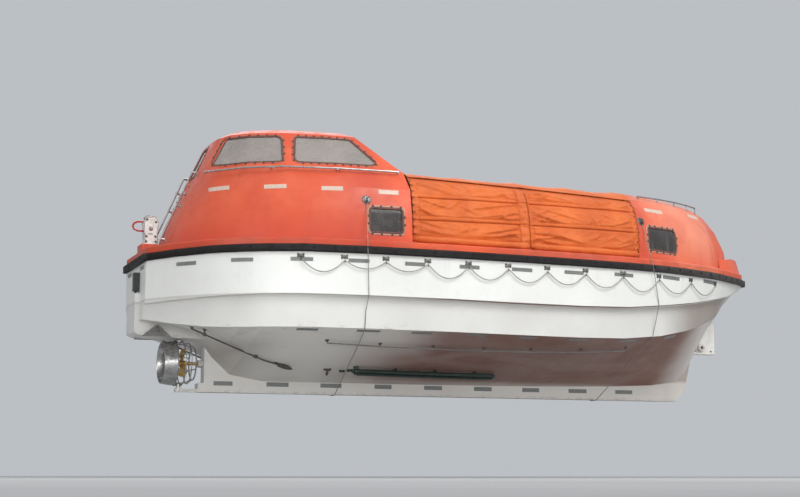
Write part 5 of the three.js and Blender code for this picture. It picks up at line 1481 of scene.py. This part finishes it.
def relief(x, z, u, w, kind, x0, x1, bands, seed, meet_at_end):
    """how far the cloth stands off its mean surface: u over the band's foot, w under its head"""
    off = Vector((seed * 3.17, seed * 1.31, seed * 2.03))
    meet = (x1 - x) if meet_at_end else (x - x0)
    lace = (x - x0) if meet_at_end else (x1 - x)
    strip = STRIP if meet_at_end else 0.035
    in_strip = sstep(strip + 0.012, strip - 0.016, meet)
    in_hem = sstep(0.082, 0.066, lace)
    flat = (1 - in_strip) * (1 - in_hem)
    t = u / (u + w)
    wob = mnoise.noise(Vector((x * 2.1, kind * 3.0, 0)) + off)
    # each band hangs in a belly, deepest low down
    d = (0.017 + 0.007 * wob) * math.sin(math.pi * t**0.8) * (1.1 - 0.4 * t) * sstep(0.0, 0.3, meet + 0.12) * sstep(0.0, 0.25, lace)
    # batten pocket: a half-round bead with the next band tucked in under it
    if kind > 0 and u < 0.040:
        d += 0.012 * math.sqrt(max(0.0, 1 - ((u - 0.0185) / 0.0215) ** 2)) * (0.35 + 0.65 * flat)
    if kind > 0:
        d -= 0.004 * bell(u, 0.046, 0.008)
    if kind < 2:
        d -= 0.014 * math.exp(-((w / 0.009) ** 2)) * (0.3 + 0.7 * flat)
    if kind > 0 and u == 0.0:
        d = min(d, -0.010 * (0.3 + 0.7 * flat))
    body = flat * sstep(0.0, 0.03, w if kind < 2 else 1) * sstep(0.030, 0.065, u if kind else 1)
    d += crease_sum(x, z, bands[kind]) * body
    d += mnoise.noise(Vector((x * 2.3, z * 4.2, 1.7)) + off) * 0.009 * flat
    n1 = mnoise.noise(Vector((x * 3.6 + z * 2.2, z * 11.0 - x * 1.8, 0.3)) + off)
    n2 = mnoise.noise(Vector((x * 8.0 - z * 5.0, z * 22.0 + x * 4.0, 4.1)) + off)
    d += ((ridge(n1) - 0.75) * 0.015 + (ridge(n2) - 0.75) * 0.007) * (0.35 + 0.65 * body)
    # bunched strip: rucked across, with a tuck on its panel side
    if in_strip > 0:
        n3 = mnoise.noise(Vector((x * 5.0, z * 15.0, 8.8)) + off)
        n4 = mnoise.noise(Vector((x * 16.0 + z * 6.0, z * 31.0, 3.3)) + off)
        big = 0.022 if meet_at_end else 0.010
        d += in_strip * (big + (ridge(n3) - 0.7) * 0.024 * (big / 0.022) + (ridge(n4) - 0.7) * 0.011)
    d -= 0.016 * bell(meet, strip + 0.012, 0.013) * (0.7 + 0.6 * wob)
    d -= 0.022 * math.exp(-((meet / 0.011) ** 2))
    # laced hem, drawn in at each eyelet
    if in_hem > 0:
        d += in_hem * (0.004 + 0.004 * math.cos(z * 64 + seed) + (ridge(mnoise.noise(Vector((x * 9, z * 27, 6.0)) + off)) - 0.7) * 0.008)
    d -= 0.009 * bell(lace, 0.083, 0.010)
    # nothing stands out through the roof sheet
    up = sstep(roof_edge(x) - 0.09, roof_edge(x) - 0.005, z)
    d = d * (1 - up) - 0.010 * up
    # drawn in behind the roll at the foot
    return d - 0.016 * (1 - sstep(deck_top(x) + 0.085, deck_top(x) + 0.15, z))


def sheet_mesh(name, grid):
    n, m = len(grid), len(grid[0])
    me = bpy.data.meshes.new(name)
    verts = [tuple(p) for r in grid for p in r]
    faces = [(i * m + j, i * m + j + 1, (i + 1) * m + j + 1, (i + 1) * m + j) for i in range(n - 1) for j in range(m - 1)]
    me.from_pydata(verts, [], faces)
    me.polygons.foreach_set("use_smooth", [True] * len(faces))
    me.update()
    o = link(bpy.data.objects.new(name, me))
    me.materials.append(M["canvas"])
    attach(o, "boat")
    return o


def arc(points):
    return sum((b - a).length for a, b in zip(points, points[1:]))


STEP = 1
FROM_LOW = [0.0, 0.0015, 0.0035, 0.007, 0.012, 0.019, 0.027, 0.034, 0.040, 0.048, 0.058]
FROM_HIGH = [0.046, 0.034, 0.025, 0.017, 0.011, 0.0065, 0.003, 0.001]


def stations(ln):
    """distances up a band, close together along both its edges"""
    a, b = FROM_LOW[-1], ln - FROM_HIGH[0]
    k = max(2, 24 // STEP)
    return FROM_LOW + [a + (b - a) * i / k for i in range(1, k)] + [ln - v for v in FROM_HIGH]


def side_panel(name, x0, x1, s, seed, meet_at_end, nx):
    bands = creases(seed, x0, x1, meet_at_end)
    strip = STRIP if meet_at_end else 0.035
    # columns: closer together along both upright edges
    edge = [0.0, 0.004, 0.010, 0.017, 0.025]
    xs = [x0 + v for v in edge] + [x0 + 0.025 + (x1 - x0 - 0.05) * i / nx for i in range(1, nx)] + [x1 - v for v in edge[::-1]]
    grid = []
    for x in xs:
        sec = Section(x, 0.0, 3.16)
        cuts = [sec.where(deck_top(x) + 0.012), sec.where(seam_low(x)), sec.where(seam_high(x)), sec.length]
        col = []
        for kind in range(3):
            a, b = cuts[kind], cuts[kind + 1]
            for u in stations(b - a):
                p, nrm = sec.at(a + u)
                r = relief(x, p.y, u, b - a - u, kind, x0, x1, bands, seed, meet_at_end)
                q = p + nrm * (r - 0.004)
                col.append(Vector((x, s * q.x, q.y)))
        p, nrm = sec.at(sec.length)
        q = p + nrm * -0.014
        col.append(Vector((x, s * q.x, q.y)))
        grid.append(col)
    if s < 0:
        grid = grid[::-1]
    return sheet_mesh(name, grid), grid


def cloth_roll(piece, pts, s, seed, meet_at_end):
    """the rolled foot of a cover over its batten: one turn's edge shows as a step along it"""
    sides = 26
    verts, faces = [], []
    n = len(pts)
    for i, p in enumerate(pts):
        to_end = min(i, n - 1 - i) / 4.0
        from_meet = (pts[-1].x - p.x) if meet_at_end else (p.x - pts[0].x)
        grip = 0.010 * bell(from_meet, 0.10, 0.05) - 0.010 * bell(from_meet, 0.028, 0.018)
        for k in range(sides):
            f = k / sides
            a = 2 * math.pi * f
            turn = (f + 0.56 + 0.018 * mnoise.noise(Vector((p.x * 4, seed, 0.2)))) % 1.0
            r = 0.0365 + 0.008 * turn
            r += 0.0045 * mnoise.noise(Vector((p.x * 4.5 + f * 1.5, seed * 1.3, math.sin(a) * 0.8)))
            r += (ridge(mnoise.noise(Vector((p.x * 13 + f * 5, seed * 2.1, 4 + math.cos(a))))) - 0.75) * 0.006
            r = (r + grip) * min(1.0, 0.45 + to_end * 0.5) if to_end < 1.1 else r + grip
            verts.append(p + Vector((0, s * math.cos(a) * r * 0.92, math.sin(a) * r * 1.06)))
    for i in range(n - 1):
        for k in range(sides):
            q = (k + 1) % sides
            face = (i * sides + k, i * sides + q, (i + 1) * sides + q, (i + 1) * sides + k)
            faces.append(face if s > 0 else face[::-1])
    faces.append(tuple(range(sides - 1, -1, -1)))
    faces.append(tuple((n - 1) * sides + k for k in range(sides)))
    piece.add(verts, faces)


for side, s in SIDES:
    for tag, x0, x1, seed in (("aft", X_AFT + 0.006, X_SPLIT - 0.002, 11 + (s > 0) * 7), ("fwd", X_SPLIT + 0.004, X_FWD - 0.006, 23 + (s > 0) * 9)):
        aft = tag == "aft"
        o, grid = side_panel(f"side_cover_{tag}_cloth_{side}", x0, x1, s, seed, aft, 190 // STEP)
        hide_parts(f"side_cover_{tag}_{side}")
        roll = Piece(f"side_cover_{tag}_roll_{side}", M["canvas"], slot="canvas")
        pts = []
        n = 150 // STEP
        for i in range(n + 1):
            x = x0 + 0.012 + (x1 - x0 - 0.024) * i / n
            z = deck_top(x) + 0.060 + 0.005 * mnoise.noise(Vector((x * 3.0, seed, 0.5)))
            (ya, za), (yb, zb) = cover_column(0, x), cover_column(1, x)
            y = ya + (yb - ya) * (z - za) / (zb - za)
            pts.append(Vector((x, s * (y + 0.012 + 0.003 * mnoise.noise(Vector((x * 5.0, seed, 3.5)))), z)))
        cloth_roll(roll, pts, s, seed, aft)
        r_o = roll.done(70)
        # eyelets and lacing along the edge by the canopy
        ex = x0 + 0.024 if aft else x1 - 0.024
        eyes = Piece(f"side_cover_{tag}_eyelets_{side}", M_BOLT)
        lace = Piece(f"side_cover_{tag}_lacing_{side}", M_STRAP)
        sec = Section(ex, 0.0, 3.0)
        d = 0.19
        kx = -0.034 if aft else 0.034
        last = None
        while d < sec.length - 0.05:
            p, nrm = sec.at(d)
            n3 = Vector((0, s * nrm.x, nrm.y))
            c = Vector((ex, s * p.x, p.y)) + n3 * 0.006
            eyes.ring(c, n3, 0.0080, 0.0028, 12, 6)
            eyes.lathe(c - n3 * 0.003, n3, [(0.0075, 0.0), (0.0075, 0.002)], 10)
            hook = c + Vector((kx, 0, 0.012)) - n3 * 0.002
            lace.tube([c + n3 * 0.003, c + n3 * 0.008 + Vector((kx * 0.3, 0, 0)), hook + n3 * 0.002], 0.0032, 6)
            if last is not None:
                lace.tube([last, (last + hook) / 2 + Vector((0, 0, -0.006)), c + n3 * 0.003], 0.0032, 6)
            last = hook
            d += 0.098
        e_o, l_o = eyes.done(50), lace.done(50)

# roof cover: one sheet over the bows, sagging between them
BOWS = [-1.430, -0.640, 0.225, 1.090, 1.985]
nx, nk = 170 // STEP, 170 // STEP
grid = []
for i in range(nx + 1):
    x = X_AFT + 0.006 + (X_FWD - X_AFT - 0.012) * i / nx
    sec = Section(x, 2.86, 6.0, 90)
    near = min(abs(x - b) for b in BOWS)
    sag = sstep(0.0, 0.40, near)
    row = []
    for j in range(nk + 1):
        v = j / nk * 2 - 1
        # closer together along the two hems
        d = sec.length * (1 - abs(v)) ** 1.25
        p, nrm = sec.at(d)
        inner = sstep(0.05, 0.40, d)
        lift = 0.004 - 0.024 * sag * inner + 0.005 * bell(near, 0, 0.03) * inner
        n1 = mnoise.noise(Vector((x * 3.0, v * 5.0, 7.0)))
        n2 = mnoise.noise(Vector((x * 10.0 + v * 3.0, v * 9.0, 3.0)))
        lift += ((ridge(n1) - 0.75) * 0.014 + (ridge(n2) - 0.75) * 0.006) * (0.25 + 0.75 * inner)
        # hem along the edge, with its line of stitching pulled in
        lift += 0.003 * bell(d, 0.012, 0.010) - 0.003 * bell(d, 0.040, 0.006)
        edge_in = min(x - X_AFT, X_FWD - x)
        lift -= 0.006 * bell(edge_in, 0.07, 0.012)
        g = abs(x - X_SPLIT)
        lift += 0.010 * bell(g, 0.03, 0.02) * (1 - inner) - 0.005 * bell(g, 0, 0.008) * (1 - inner)
        q = p + nrm * (lift + 0.003)
        row.append(Vector((x, (1 if v > 0 else -1) * q.x, q.y)))
    grid.append(row[::-1])
roof = sheet_mesh("roof_cover_cloth", grid)
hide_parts("canvas_roof")
